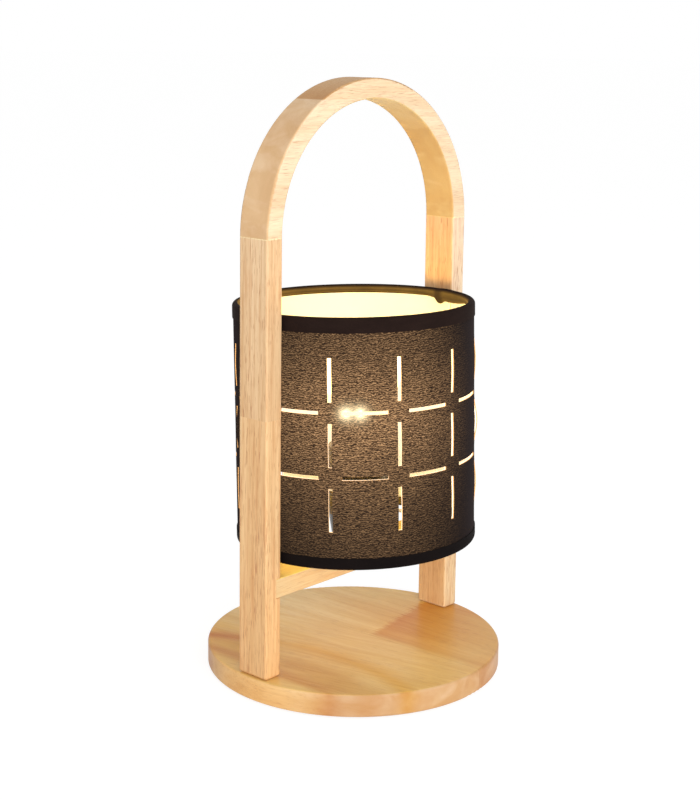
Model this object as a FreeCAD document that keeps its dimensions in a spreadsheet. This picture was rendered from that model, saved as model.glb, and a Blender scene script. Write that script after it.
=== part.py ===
import FreeCAD, Part
import math
import os
import re
import Sketcher
from FreeCAD import Placement, Rotation, Vector

# Bedside lamp: a round wooden base, a half-round wooden arch on two posts, a crossbar
# that carries the lampholder, and a slit fabric drum shade round the bulb.
# Millimetres. X runs along the arch from post to post, Z is up, and the origin is the
# centre of the plane that the foot pads stand on.

sizes = [
    # wooden frame
    ("base_margin", 2.5, "rim of the base board beyond the posts"),
    ("base_thick", 15, "base board"),
    ("base_edge_round", 1.6, "softened rim of the base board"),
    ("frame_reach", 97.5, "lamp axis to the outer faces of the posts"),
    ("post_thick", 13.5, "post and arch, seen from the front"),
    ("post_depth", 25, "post, arch and crossbar, front to back"),
    ("post_height", 285, "post, from the base board to the arch"),
    ("wood_edge_round", 1.5, "softened long edges of posts and arch"),
    ("post_foot_round", 2.2, "softened foot of each post"),
    ("bar_rise", 53, "clear height under the crossbar"),
    ("bar_height", 13, "crossbar"),
    ("bar_edge_round", 0.8, "softened long edges of the crossbar"),
    ("housing_depth", 4.3, "how far each crossbar end is let into its post"),
    ("glue_gap", 0.05, "glue film round let-in wood"),
    ("dowel_radius", 3, "arch dowel"),
    ("dowel_reach", 15, "half the length of an arch dowel"),
    ("dowel_chamfer", 0.8, "chamfered ends of the dowel"),
    ("fixing_spacing", 11, "between the two dowels, or screws, of one post"),
    ("screw_radius", 2, "shank of a base screw"),
    ("screw_length", 42, "base screw over all"),
    ("screw_point", 4, "pointed end of a base screw"),
    ("screw_head_radius", 4, "countersunk head"),
    ("screw_gap", 0.15, "round a base screw"),
    ("drive_radius", 1.4, "recess in a screw head"),
    ("drive_depth", 1.6, "recess in a screw head"),
    ("pad_radius", 7, "foot pad"),
    ("pad_thick", 1, "foot pad"),
    ("pad_inset", 20, "rim of the base board to the centre of a foot pad"),
    # lampholder
    ("nipple_radius", 5, "threaded tube through the crossbar"),
    ("nipple_bore_radius", 3.5, "wire way in the threaded tube"),
    ("nipple_chamfer", 0.6, "ends of the threaded tube"),
    ("nipple_grip", 9, "threaded tube inside the holder cap"),
    ("thread_gap", 0.08, "round a threaded or sliding metal part"),
    ("recess_gap", 1.5, "round the washer in its counterbore"),
    ("recess_depth", 6, "counterbore under the crossbar"),
    ("washer_rim", 4, "washer beyond the threaded tube"),
    ("washer_thick", 1, "washer in the counterbore"),
    ("nut_wall", 2, "hexagon nut, threaded tube to its flats"),
    ("nut_thick", 3.2, "hexagon nut"),
    ("nut_chamfer", 0.6, "corners of the nut"),
    ("cap_foot_radius", 14.5, "foot of the holder cap"),
    ("cap_setback", 1, "holder cap's shoulder inside the skirt's crests"),
    ("cap_height", 24, "holder cap, foot to shoulder"),
    ("cap_wall", 2.2, "holder cap"),
    ("cap_foot_round", 1.2, "foot edge of the holder cap"),
    ("neck_height", 8, "neck of the cap inside the skirt"),
    ("skirt_radius", 19.4, "threaded skirt over its crests"),
    ("skirt_wall", 2.3, "lower part of the threaded skirt"),
    ("skirt_edge_round", 0.8, "top edge of the skirt"),
    ("flange_rim", 4.4, "shoulder flange beyond the skirt"),
    ("flange_thick", 2.4, "shoulder flange"),
    ("flange_drop", 27.5, "top of the skirt down to the flange"),
    ("insert_height", 10, "contact carrier inside the skirt"),
    ("contact_space", 2, "contact carrier to the foot of the bulb"),
    ("insert_pit_radius", 9.5, "hollow in the top of the contact carrier"),
    ("insert_pit_depth", 2.5, "hollow in the top of the contact carrier"),
    ("wire_hole_radius", 1.6, "wire holes in the contact carrier"),
    ("terminal_spread", 5.5, "axis to a terminal screw"),
    ("terminal_radius", 1.5, "terminal screw"),
    ("terminal_head_radius", 2.6, "terminal screw"),
    ("terminal_head_thick", 1.6, "terminal screw"),
    ("terminal_length", 5.5, "terminal screw under its head"),
    ("shell_wall", 0.5, "brass screw shell"),
    ("shell_setback", 5, "brass screw shell below the skirt's top"),
    ("contact_width", 6, "centre contact strip"),
    ("contact_thick", 0.6, "centre contact strip"),
    ("contact_length", 13, "centre contact strip"),
    ("contact_gap", 0.2, "between the bulb's contact and the strip"),
    ("running_gap", 0.08, "clamp ring round the skirt"),
    ("seat_gap", 0.1, "between flat faces that turn on each other"),
    ("ring_gap", 0.3, "between the clamp ring and the spider hub"),
    ("ring_wall", 6, "clamp ring, skirt to its rim"),
    ("ring_height", 7.5, "clamp ring"),
    ("ring_edge_round", 1, "top edge of the clamp ring"),
    ("grip_radius", 1.1, "finger grooves round the clamp ring"),
    # shade
    ("side_gap", 3, "between the shade's tape and a post"),
    ("shade_height", 160, "shade, rim to rim"),
    ("fabric_thick", 0.7, "outer fabric"),
    ("lining_thick", 0.6, "white lining"),
    ("laminate_gap", 0.02, "between glued layers of the shade"),
    ("tape_thick", 0.6, "trim tape"),
    ("tape_height", 9, "trim tape on the outside"),
    ("hem_height", 3.9, "turned-in tape below the wire"),
    ("hem_drop", 1.4, "straight start of the turned-in tape"),
    ("rim_wire_radius", 1.2, "wire rings in the hems"),
    ("arm_wire_radius", 1.2, "spider arms"),
    ("arm_bend_radius", 7, "bend of a spider arm"),
    ("arm_notch_gap", 0.3, "round an arm where it passes the hem"),
    ("hub_play", 1.6, "hole of the spider hub round the skirt"),
    ("hub_rim", 3.6, "spider hub, hole to rim"),
    ("hub_thick", 1.6, "spider hub"),
    ("hub_rise", 33.6, "lower rim of the shade up to the hub"),
    ("slit_length", 29, "upright slits"),
    ("slit_width", 2.8, "upright slits"),
    ("slit_land", 13, "fabric between the upright slits of a column"),
    ("slit_drop", 1.2, "slit pattern below the middle of the shade"),
    ("cross_length", 29.6, "level slits"),
    ("cross_width", 2.6, "level slits"),
    # bulb
    ("bulb_radius", 30, "bulb at its widest"),
    ("bulb_length", 108, "bulb over all"),
    ("bulb_wall", 1.2, "bulb globe"),
    ("bulb_skirt_radius", 15.4, "lower end of the bulb's cone"),
    ("bulb_skirt_round", 4, "rounding under the bulb's cone"),
    ("bulb_standoff", 1, "bulb's cone above the holder"),
    ("bulb_cap_radius", 13.2, "screw cap over its crests"),
    ("bulb_cap_gap", 0.3, "screw cap in the screw shell"),
    ("bulb_insert", 26, "length of the bulb inside the holder"),
    ("insulator_setback", 2.7, "glass insulator's upper end inside the cap's crests"),
    ("insulator_height", 3, "glass insulator"),
    ("bulb_contact_radius", 4.8, "solder contact"),
    ("bulb_contact_height", 1.2, "solder contact"),
    ("board_rim", 5.2, "rim of the bulb's cone round the lamp board"),
    ("board_thick", 1.6, "round lamp board in the bulb"),
    ("board_seat", 2.5, "top of the bulb's cone down to the board"),
    ("chip_size", 3, "light chips on the lamp board"),
    ("chip_thick", 0.8, "light chips on the lamp board"),
    ("chip_circle", 13, "lamp board axis to a chip"),
]

# Counts and angles in degrees.
counts = [
    ("column_count", 11, "columns of upright slits"),
    ("row_count", 3, "upright slits in a column"),
    ("cross_rows", 2, "rows of level slits"),
    ("pad_count", 4, "foot pads"),
    ("arm_count", 3, "spider arms"),
    ("grip_count", 30, "finger grooves round the clamp ring"),
    ("chip_count", 8, "light chips"),
    ("seam_half_angle", 21, "shade seam to the columns beside it"),
    ("arm_angle", 44.1, "first spider arm, from the shade seam"),
    ("globe_angle", 25, "lower edge of the globe, below its widest line"),
]

# Heights and lengths that follow from the sizes above.
derived = {
    "inner_reach": "frame_reach - post_thick",
    "post_centre": "frame_reach - 0.5 * post_thick",
    "half_depth": "0.5 * post_depth",
    "base_radius": "frame_reach + base_margin",
    "base_top": "pad_thick + base_thick",
    "post_top": "base_top + post_height",
    "bar_under": "base_top + bar_rise",
    "bar_top": "bar_under + bar_height",
    "bar_half_length": "inner_reach + housing_depth - glue_gap",
    "screw_grip": "screw_length - base_thick",
    "pad_circle": "base_radius - pad_inset",
    "washer_radius": "nipple_radius + washer_rim",
    "recess_radius": "washer_radius + recess_gap",
    "nut_half_flats": "nipple_radius + nut_wall",
    "washer_under": "bar_under + recess_depth - washer_thick",
    "nut_under": "washer_under - nut_thick",
    "nipple_length": "bar_top + nipple_grip - nut_under",
    "tube_hole_radius": "nipple_radius + thread_gap",
    "cap_radius": "skirt_radius - cap_setback",
    "neck_radius": "skirt_radius - skirt_wall - thread_gap",
    "neck_top": "cap_height + neck_height",
    "shell_radius": "bulb_cap_radius + bulb_cap_gap + shell_wall",
    "sleeve_radius": "shell_radius + thread_gap",
    "sleeve_height": "contact_space + bulb_insert",
    "shell_height": "sleeve_height - shell_setback",
    "skirt_height": "neck_height + insert_height + sleeve_height",
    "skirt_foot": "bar_top + cap_height",
    "skirt_top": "skirt_foot + skirt_height",
    "flange_radius": "skirt_radius + flange_rim",
    "flange_height": "skirt_height - flange_drop",
    "flange_top": "skirt_top - flange_drop",
    "insert_foot": "bar_top + neck_top",
    "insert_top": "insert_foot + insert_height",
    "hub_bore_radius": "skirt_radius + hub_play",
    "hub_radius": "hub_bore_radius + hub_rim",
    "hub_under": "flange_top + seat_gap",
    "ring_radius": "skirt_radius + ring_wall",
    "ring_under": "hub_under + hub_thick + ring_gap",
    "shade_foot": "hub_under - hub_rise",
    "shade_top": "shade_foot + shade_height",
    "shade_radius": "inner_reach - side_gap - tape_thick - laminate_gap",
    "lining_radius": "shade_radius - fabric_thick - laminate_gap",
    "lining_bore": "lining_radius - lining_thick",
    "wire_circle": "lining_bore - laminate_gap - rim_wire_radius",
    "tape_outer": "shade_radius + laminate_gap + tape_thick",
    "tape_inner": "wire_circle - rim_wire_radius - laminate_gap - tape_thick",
    "bead_radius": "0.5 * (tape_outer - tape_inner)",
    "bead_circle": "0.5 * (tape_outer + tape_inner)",
    "wall_height": "shade_height - 2 * bead_radius",
    "arm_foot": "bead_radius + rim_wire_radius",
    "arm_top": "hub_rise + hub_thick - arm_wire_radius",
    "column_angle": "(360 - 2 * seam_half_angle) / (column_count - 1)",
    "row_pitch": "slit_length + slit_land",
    "slit_middle": "0.5 * wall_height - slit_drop",
    "bulb_foot": "skirt_top - bulb_insert",
    "cone_foot": "bulb_insert + bulb_standoff",
    "globe_centre": "bulb_length - bulb_radius",
    "cone_top": "globe_centre - bulb_radius * sin(globe_angle)",
    "cone_radius": "bulb_radius * cos(globe_angle)",
    "board_radius": "cone_radius - board_rim",
    "insulator_radius": "bulb_cap_radius - insulator_setback",
    "insulator_foot": "bulb_contact_height",
    "shell_foot": "insulator_foot + insulator_height",
    "board_top": "cone_top - board_seat + board_thick",
    "contact_level": "bulb_foot - contact_gap - contact_thick",
}

doc = FreeCAD.newDocument("BedsideLamp")
sheet = doc.addObject("Spreadsheet::Sheet", "Sizes")
for row, (alias, value, note) in enumerate(sizes + counts, start=1):
    sheet.set("A%d" % row, alias)
    sheet.set("B%d" % row, str(value))
    sheet.set("C%d" % row, note)
    sheet.setAlias("B%d" % row, alias)
doc.recompute()
aliases = {alias for alias, value, note in sizes + counts}


def link(formula):
    """Write a formula of size names as an expression on the sheet's cells."""
    def swap(match):
        word = match.group(0)
        if word in derived:
            return "(" + link(derived[word]) + ")"
        return "Sizes." + word if word in aliases else word
    return re.sub(r"[a-z_]+", swap, formula)


def worth(formula):
    """The present value of a formula of size names."""
    value = sheet.evalExpression(link(formula))
    return float(getattr(value, "Value", value))


def origin_part(body, role):
    return next(part for part in body.Origin.OriginFeatures if part.Role == role)


def new_body(label, height="0", reach="0", turn="0"):
    """A body whose own origin stands at a height on the lamp's axis, or beside it."""
    body = doc.addObject("PartDesign::Body", label)
    body.Label = label
    body.Placement.Rotation = Rotation(Vector(0, 0, 1), worth(turn))
    body.setExpression("Placement.Base.z", link(height))
    body.setExpression("Placement.Base.x", link(reach))
    return body


def new_sketch(body, name, plane, lift="0", turn=None):
    sketch = body.newObject("Sketcher::SketchObject", name)
    sketch.AttachmentSupport = [(origin_part(body, plane), "")]
    sketch.MapMode = "FlatFace"
    if turn:
        sketch.AttachmentOffset = Placement(Vector(), Rotation(Vector(0, 1, 0), worth(turn)))
    sketch.setExpression("AttachmentOffset.Base.z", link(lift))
    return sketch


def bind(sketch, constraint, formula):
    index = sketch.addConstraint(constraint)
    sketch.setExpression("Constraints[%d]" % index, link(formula))


def arc_between(start, end, radius, turn):
    """An arc of the given radius, anticlockwise for turn 1 and clockwise for turn -1."""
    half = (end - start) * 0.5
    rise = max(radius * radius - half.Length * half.Length, 0) ** 0.5
    side = Vector(-half.y, half.x, 0).normalize() * turn
    middle = start + half - side * (radius - rise)
    return Part.Arc(start, middle, end)


def add_outline(sketch, corners):
    """A closed outline. A corner is (x, y), or (x, y, radius, turn) where an arc ends."""
    places = [Vector(worth(corner[0]), worth(corner[1]), 0) for corner in corners]
    first = sketch.GeometryCount
    ends = []
    for index, place in enumerate(places):
        after = (index + 1) % len(places)
        if len(corners[after]) == 2:
            edge = Part.LineSegment(place, places[after])
        else:
            radius, turn = corners[after][2:]
            edge = arc_between(place, places[after], worth(radius), turn)
        sketch.addGeometry(edge)
        backwards = len(corners[after]) == 4 and corners[after][3] < 0
        ends.append((2, 1) if backwards else (1, 2))
    for index, corner in enumerate(corners):
        edge = first + index
        before = (index - 1) % len(corners)
        start = ends[index][0]
        finish = ends[before][1]
        joined = Sketcher.Constraint("Coincident", first + before, finish, edge, start)
        sketch.addConstraint(joined)
        x, y = worth(corner[0]), worth(corner[1])
        bind(sketch, Sketcher.Constraint("DistanceX", -1, 1, edge, start, x), corner[0])
        bind(sketch, Sketcher.Constraint("DistanceY", -1, 1, edge, start, y), corner[1])
        if len(corner) == 4:
            bow = Sketcher.Constraint("Radius", first + before, worth(corner[2]))
            bind(sketch, bow, corner[2])
    return sketch


def add_box(sketch, left, right, low, high):
    return add_outline(sketch, [(left, low), (right, low), (right, high), (left, high)])


def add_circle(sketch, x, y, radius):
    index = sketch.GeometryCount
    centre = Vector(worth(x), worth(y), 0)
    sketch.addGeometry(Part.Circle(centre, Vector(0, 0, 1), worth(radius)))
    bind(sketch, Sketcher.Constraint("DistanceX", -1, 1, index, 3, centre.x), x)
    bind(sketch, Sketcher.Constraint("DistanceY", -1, 1, index, 3, centre.y), y)
    bind(sketch, Sketcher.Constraint("Radius", index, worth(radius)), radius)
    return sketch


def extrude(body, kind, name, sketch, length, reverse=False, symmetric=False):
    """A Pad or a Pocket. A pocket has to take something away."""
    before = body.Shape.Volume if kind == "Pocket" else 0
    feature = body.newObject("PartDesign::" + kind, name)
    feature.Profile = sketch
    feature.SideType = "Symmetric" if symmetric else "One side"
    feature.Reversed = reverse
    feature.setExpression("Length", link(length))
    doc.recompute()
    if kind == "Pocket" and not feature.Shape.Volume < before:
        raise ValueError(name + " cuts nothing")
    return feature


def revolve(body, name, corners):
    """Turn an outline of (radius, height) corners about the body's own upright axis."""
    sketch = add_outline(new_sketch(body, name + "_profile", "XZ_Plane"), corners)
    feature = body.newObject("PartDesign::Revolution", name)
    feature.Profile = sketch
    feature.ReferenceAxis = (sketch, ["V_Axis"])
    feature.Angle = 360
    doc.recompute()
    return feature


def ring_pad(body, name, outer, inner, height):
    sketch = new_sketch(body, name + "_profile", "XY_Plane")
    add_circle(sketch, "0", "0", outer)
    add_circle(sketch, "0", "0", inner)
    return extrude(body, "Pad", name, sketch, height)


def dress(body, kind, name, feature, formula, wanted):
    """A Fillet or Chamfer on the edges of a feature that the test picks out."""
    edges = ["Edge%d" % number for number, edge in enumerate(feature.Shape.Edges, 1) if wanted(edge)]
    finish = body.newObject("PartDesign::" + kind, name)
    finish.Base = (feature, edges)
    finish.setExpression("Radius" if kind == "Fillet" else "Size", link(formula))
    doc.recompute()
    return finish


def polar(body, name, feature, angle, count):
    """Copies of a feature about the body's upright axis, by the angle from one to the next."""
    pattern = body.newObject("PartDesign::PolarPattern", name)
    pattern.Originals = [feature]
    pattern.Axis = (origin_part(body, "Z_Axis"), [""])
    pattern.setExpression("Angle", link("(%s) * (%s - 1)" % (angle, count)))
    pattern.setExpression("Occurrences", link(count))
    body.Tip = pattern
    doc.recompute()
    return pattern


def grid(body, name, feature, span_x, span_y):
    """Four copies of a feature at the corners of a rectangle."""
    block = body.newObject("PartDesign::MultiTransform", name)
    block.Originals = [feature]
    rows = []
    for axis, span in (("X_Axis", span_x), ("Y_Axis", span_y)):
        row = body.newObject("PartDesign::LinearPattern", name + "_" + axis[0].lower())
        row.Direction = (origin_part(body, axis), [""])
        row.setExpression("Length", link(span))
        row.Occurrences = 2
        rows.append(row)
    block.Transformations = rows
    body.Tip = block
    doc.recompute()
    return block


def at_height(edge, level):
    return all(abs(vertex.Z - level) < 1e-6 for vertex in edge.Vertexes)


def is_upright(edge):
    places = [vertex.Point for vertex in edge.Vertexes]
    return len(places) == 2 and abs(places[0].z - places[1].z) > edge.Length * 0.999


def make_base_disc():
    body = new_body("base_disc", "pad_thick")
    board = extrude(
        body, "Pad", "board",
        add_circle(new_sketch(body, "board_outline", "XY_Plane"), "0", "0", "base_radius"),
        "base_thick")
    rim = dress(body, "Fillet", "rim", board, "base_edge_round", lambda edge: True)
    holes = new_sketch(body, "screw_holes", "XY_Plane")
    for x in ("-post_centre", "post_centre"):
        for y in ("-0.5 * fixing_spacing", "0.5 * fixing_spacing"):
            add_circle(holes, x, y, "screw_radius + screw_gap")
    drilled = extrude(body, "Pocket", "drilled", holes, "base_thick", reverse=True)
    mouth = worth("screw_radius + screw_gap")
    dress(body, "Chamfer", "countersinks", drilled, "screw_head_radius - screw_radius",
          lambda edge: at_height(edge, 0) and abs(edge.Length - 2 * math.pi * mouth) < 0.1 * mouth)


def make_foot_pads():
    body = new_body("foot_pads", turn="45")
    disc = add_circle(new_sketch(body, "pad_outline", "XY_Plane"), "pad_circle", "0", "pad_radius")
    pad = extrude(body, "Pad", "pad", disc, "pad_thick")
    polar(body, "pads", pad, "360 / pad_count", "pad_count")


def make_base_screws():
    body = new_body("base_screws", "pad_thick")
    sketch = new_sketch(body, "screw_profile", "XZ_Plane", "0.5 * fixing_spacing")
    neck = "screw_head_radius - screw_radius"
    add_outline(sketch, [
        ("drive_radius - post_centre", "0"),
        ("screw_head_radius - post_centre", "0"),
        ("screw_radius - post_centre", neck),
        ("screw_radius - post_centre", "screw_length - screw_point"),
        ("-post_centre", "screw_length"),
        ("-post_centre", "drive_depth"),
    ])
    axis = sketch.GeometryCount
    foot = Vector(-worth("post_centre"), 0, 0)
    head = Vector(-worth("post_centre"), worth("screw_length"), 0)
    sketch.addGeometry(Part.LineSegment(foot, head), True)
    bind(sketch, Sketcher.Constraint("DistanceX", -1, 1, axis, 1, foot.x), "-post_centre")
    bind(sketch, Sketcher.Constraint("DistanceX", -1, 1, axis, 2, head.x), "-post_centre")
    sketch.addConstraint(Sketcher.Constraint("DistanceY", -1, 1, axis, 1, 0))
    bind(sketch, Sketcher.Constraint("DistanceY", -1, 1, axis, 2, head.y), "screw_length")
    screw = body.newObject("PartDesign::Revolution", "screw")
    screw.Profile = sketch
    screw.ReferenceAxis = (sketch, ["Axis0"])
    screw.Angle = 360
    doc.recompute()
    grid(body, "screws", screw, "2 * post_centre", "fixing_spacing")


def make_post(label, side):
    """A post in its own frame: X towards the outside of the lamp is side times X."""
    body = new_body(label, "base_top", "%d * post_centre" % side)
    plan = add_box(new_sketch(body, "plan", "XY_Plane"),
                   "-0.5 * post_thick", "0.5 * post_thick", "-half_depth", "half_depth")
    blank = extrude(body, "Pad", "blank", plan, "post_height")
    long_edges = dress(body, "Fillet", "long_edges", blank, "wood_edge_round", is_upright)
    dress(body, "Fillet", "foot_edges", long_edges, "post_foot_round",
          lambda edge: at_height(edge, 0))
    inner = "%d * 0.5 * post_thick" % -side
    bottom = "%d * (0.5 * post_thick - housing_depth)" % -side
    housing = add_box(new_sketch(body, "housing_outline", "XZ_Plane"), bottom, inner,
                      "bar_rise - glue_gap", "bar_rise + bar_height + glue_gap")
    extrude(body, "Pocket", "housing", housing, "2 * post_depth", symmetric=True)
    for name, lift, radius, depth, reverse in (
            ("screw_pilots", "0", "screw_radius + screw_gap", "screw_grip + screw_gap", True),
            ("dowel_holes", "post_height", "dowel_radius + glue_gap", "dowel_reach + glue_gap", False)):
        holes = new_sketch(body, name + "_outline", "XY_Plane", lift)
        for y in ("-0.5 * fixing_spacing", "0.5 * fixing_spacing"):
            add_circle(holes, "0", y, radius)
        extrude(body, "Pocket", name, holes, depth, reverse=reverse)


def make_arch():
    body = new_body("arch", "post_top")
    outline = add_outline(new_sketch(body, "arch_outline", "XZ_Plane"), [
        ("inner_reach", "0", "inner_reach", -1),
        ("frame_reach", "0"),
        ("0", "frame_reach", "frame_reach", 1),
        ("-frame_reach", "0", "frame_reach", 1),
        ("-inner_reach", "0"),
        ("0", "inner_reach", "inner_reach", -1),
    ])
    blank = extrude(body, "Pad", "blank", outline, "post_depth", symmetric=True)
    dress(body, "Fillet", "long_edges", blank, "wood_edge_round",
          lambda edge: edge.Length > worth("inner_reach") and not at_height(edge, 0))
    holes = new_sketch(body, "dowel_hole_outline", "XY_Plane")
    for x in ("-post_centre", "post_centre"):
        for y in ("-0.5 * fixing_spacing", "0.5 * fixing_spacing"):
            add_circle(holes, x, y, "dowel_radius + glue_gap")
    extrude(body, "Pocket", "dowel_holes", holes, "dowel_reach + glue_gap", reverse=True)


def make_arch_dowels():
    body = new_body("arch_dowels", "post_top")
    sketch = new_sketch(body, "dowel_outline", "XY_Plane", "-dowel_reach")
    add_circle(sketch, "-post_centre", "-0.5 * fixing_spacing", "dowel_radius")
    dowel = extrude(body, "Pad", "dowel", sketch, "2 * dowel_reach")
    block = grid(body, "dowels", dowel, "2 * post_centre", "fixing_spacing")
    dress(body, "Chamfer", "ends", block, "dowel_chamfer", lambda edge: not is_upright(edge))


def make_crossbar():
    body = new_body("crossbar", "bar_under")
    side = add_box(new_sketch(body, "section", "YZ_Plane"),
                   "-half_depth", "half_depth", "0", "bar_height")
    blank = extrude(body, "Pad", "blank", side, "2 * bar_half_length", symmetric=True)
    dress(body, "Fillet", "long_edges", blank, "bar_edge_round",
          lambda edge: edge.Length > worth("bar_half_length"))
    for name, radius, depth in (("nipple_hole", "tube_hole_radius", "bar_height"),
                                ("nut_recess", "recess_radius", "recess_depth")):
        hole = add_circle(new_sketch(body, name + "_outline", "XY_Plane"), "0", "0", radius)
        extrude(body, "Pocket", name, hole, depth, reverse=True)


def make_nipple():
    body = new_body("nipple", "nut_under")
    tube = ring_pad(body, "tube", "nipple_radius", "nipple_bore_radius", "nipple_length")
    dress(body, "Chamfer", "ends", tube, "nipple_chamfer",
          lambda edge: edge.BoundBox.XLength > 1.9 * worth("nipple_radius"))


def make_nipple_nut():
    body = new_body("nipple_nut", "nut_under")
    sketch = new_sketch(body, "hexagon", "XY_Plane")
    corners = []
    for step in range(6):
        angle = "(%d * 60)" % step
        corners.append(("nut_half_flats / cos(30) * cos%s" % angle,
                        "nut_half_flats / cos(30) * sin%s" % angle))
    add_outline(sketch, corners)
    blank = extrude(body, "Pad", "blank", sketch, "nut_thick")
    dress(body, "Chamfer", "lower_corners", blank, "nut_chamfer",
          lambda edge: at_height(edge, 0))
    hole = add_circle(new_sketch(body, "hole_outline", "XY_Plane"), "0", "0", "tube_hole_radius")
    extrude(body, "Pocket", "hole", hole, "nut_thick", reverse=True)


def make_nipple_washer():
    body = new_body("nipple_washer", "washer_under")
    ring_pad(body, "washer", "washer_radius", "tube_hole_radius", "washer_thick")


def make_holder_cap():
    """The cap widens from its foot to its shoulder and has a neck that the skirt slips over."""
    body = new_body("holder_cap", "bar_top")
    revolve(body, "cap", [
        ("tube_hole_radius", "0"),
        ("cap_foot_radius - cap_foot_round", "0"),
        ("cap_foot_radius", "cap_foot_round", "cap_foot_round", 1),
        ("cap_radius", "cap_height"),
        ("neck_radius", "cap_height"),
        ("neck_radius", "neck_top"),
        ("neck_radius - cap_wall", "neck_top"),
        ("neck_radius - cap_wall", "cap_height"),
        ("cap_foot_radius - cap_wall", "nipple_grip - cap_wall"),
        ("nipple_radius + cap_wall", "nipple_grip - cap_wall"),
        ("nipple_radius + cap_wall", "nipple_grip"),
        ("tube_hole_radius", "nipple_grip"),
    ])


def make_holder_insert():
    body = new_body("holder_insert", "insert_foot")
    revolve(body, "carrier", [
        ("0", "0"),
        ("neck_radius", "0"),
        ("neck_radius", "insert_height"),
        ("insert_pit_radius", "insert_height"),
        ("insert_pit_radius", "insert_height - insert_pit_depth"),
        ("0", "insert_height - insert_pit_depth"),
    ])
    holes = new_sketch(body, "wire_holes_outline", "XY_Plane")
    for y in ("-terminal_spread", "terminal_spread"):
        add_circle(holes, "0", y, "wire_hole_radius")
    extrude(body, "Pocket", "wire_holes", holes, "insert_height", reverse=True)
    threads = new_sketch(body, "terminal_holes_outline", "XY_Plane")
    for x in ("-terminal_spread", "terminal_spread"):
        add_circle(threads, x, "0", "terminal_radius + thread_gap")
    extrude(body, "Pocket", "terminal_holes", threads, "terminal_length + thread_gap", reverse=True)


def make_terminal_screws():
    body = new_body("terminal_screws", "insert_foot")
    plan = add_circle(new_sketch(body, "shank_outline", "XY_Plane"),
                      "terminal_spread", "0", "terminal_radius")
    shank = extrude(body, "Pad", "shank", plan, "terminal_length")
    polar(body, "shanks", shank, "180", "2")
    plan = new_sketch(body, "head_outline", "XY_Plane", "-terminal_head_thick")
    for x in ("-terminal_spread", "terminal_spread"):
        add_circle(plan, x, "0", "terminal_head_radius")
    extrude(body, "Pad", "heads", plan, "terminal_head_thick")


def make_centre_contact():
    """A springy strip that rises from the contact carrier to the middle of the bulb's contact."""
    body = new_body("centre_contact", "insert_top - insert_pit_depth")
    rise = "contact_level - (insert_top - insert_pit_depth)"
    side = add_outline(new_sketch(body, "strip_side", "XZ_Plane"), [
        ("-0.5 * contact_length", "0"),
        ("-0.2 * contact_length", "0"),
        ("-0.1 * contact_length", rise),
        ("0.2 * contact_length", rise),
        ("0.2 * contact_length", rise + " + contact_thick"),
        ("-0.1 * contact_length - contact_thick", rise + " + contact_thick"),
        ("-0.2 * contact_length - contact_thick", "contact_thick"),
        ("-0.5 * contact_length", "contact_thick"),
    ])
    extrude(body, "Pad", "strip", side, "contact_width", symmetric=True)


def make_screw_shell():
    body = new_body("screw_shell", "insert_top")
    ring_pad(body, "shell", "shell_radius", "shell_radius - shell_wall", "shell_height")


def make_holder_skirt():
    """The skirt screws over the cap's neck, holds the screw shell and carries the flange."""
    body = new_body("holder_skirt", "skirt_foot")
    revolve(body, "skirt", [
        ("skirt_radius - skirt_wall", "0"),
        ("skirt_radius", "0"),
        ("skirt_radius", "flange_height - flange_thick"),
        ("flange_radius", "flange_height - flange_thick"),
        ("flange_radius", "flange_height"),
        ("skirt_radius", "flange_height"),
        ("skirt_radius", "skirt_height - skirt_edge_round"),
        ("skirt_radius - skirt_edge_round", "skirt_height", "skirt_edge_round", 1),
        ("sleeve_radius", "skirt_height"),
        ("sleeve_radius", "neck_height + insert_height"),
        ("skirt_radius - skirt_wall", "neck_height + insert_height"),
    ])


def make_shade_ring():
    body = new_body("shade_ring", "ring_under")
    revolve(body, "blank", [
        ("skirt_radius + running_gap", "0"),
        ("ring_radius", "0"),
        ("ring_radius", "ring_height - ring_edge_round"),
        ("ring_radius - ring_edge_round", "ring_height", "ring_edge_round", 1),
        ("skirt_radius + running_gap", "ring_height"),
    ])
    hollow = add_circle(new_sketch(body, "groove_outline", "XY_Plane"),
                        "ring_radius + 0.3 * grip_radius", "0", "grip_radius")
    groove = extrude(body, "Pocket", "groove", hollow, "ring_height", reverse=True)
    polar(body, "grooves", groove, "360 / grip_count", "grip_count")


def make_spider_hub():
    body = new_body("spider_hub", "hub_under")
    ring_pad(body, "hub", "hub_radius", "hub_bore_radius", "hub_thick")


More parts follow.
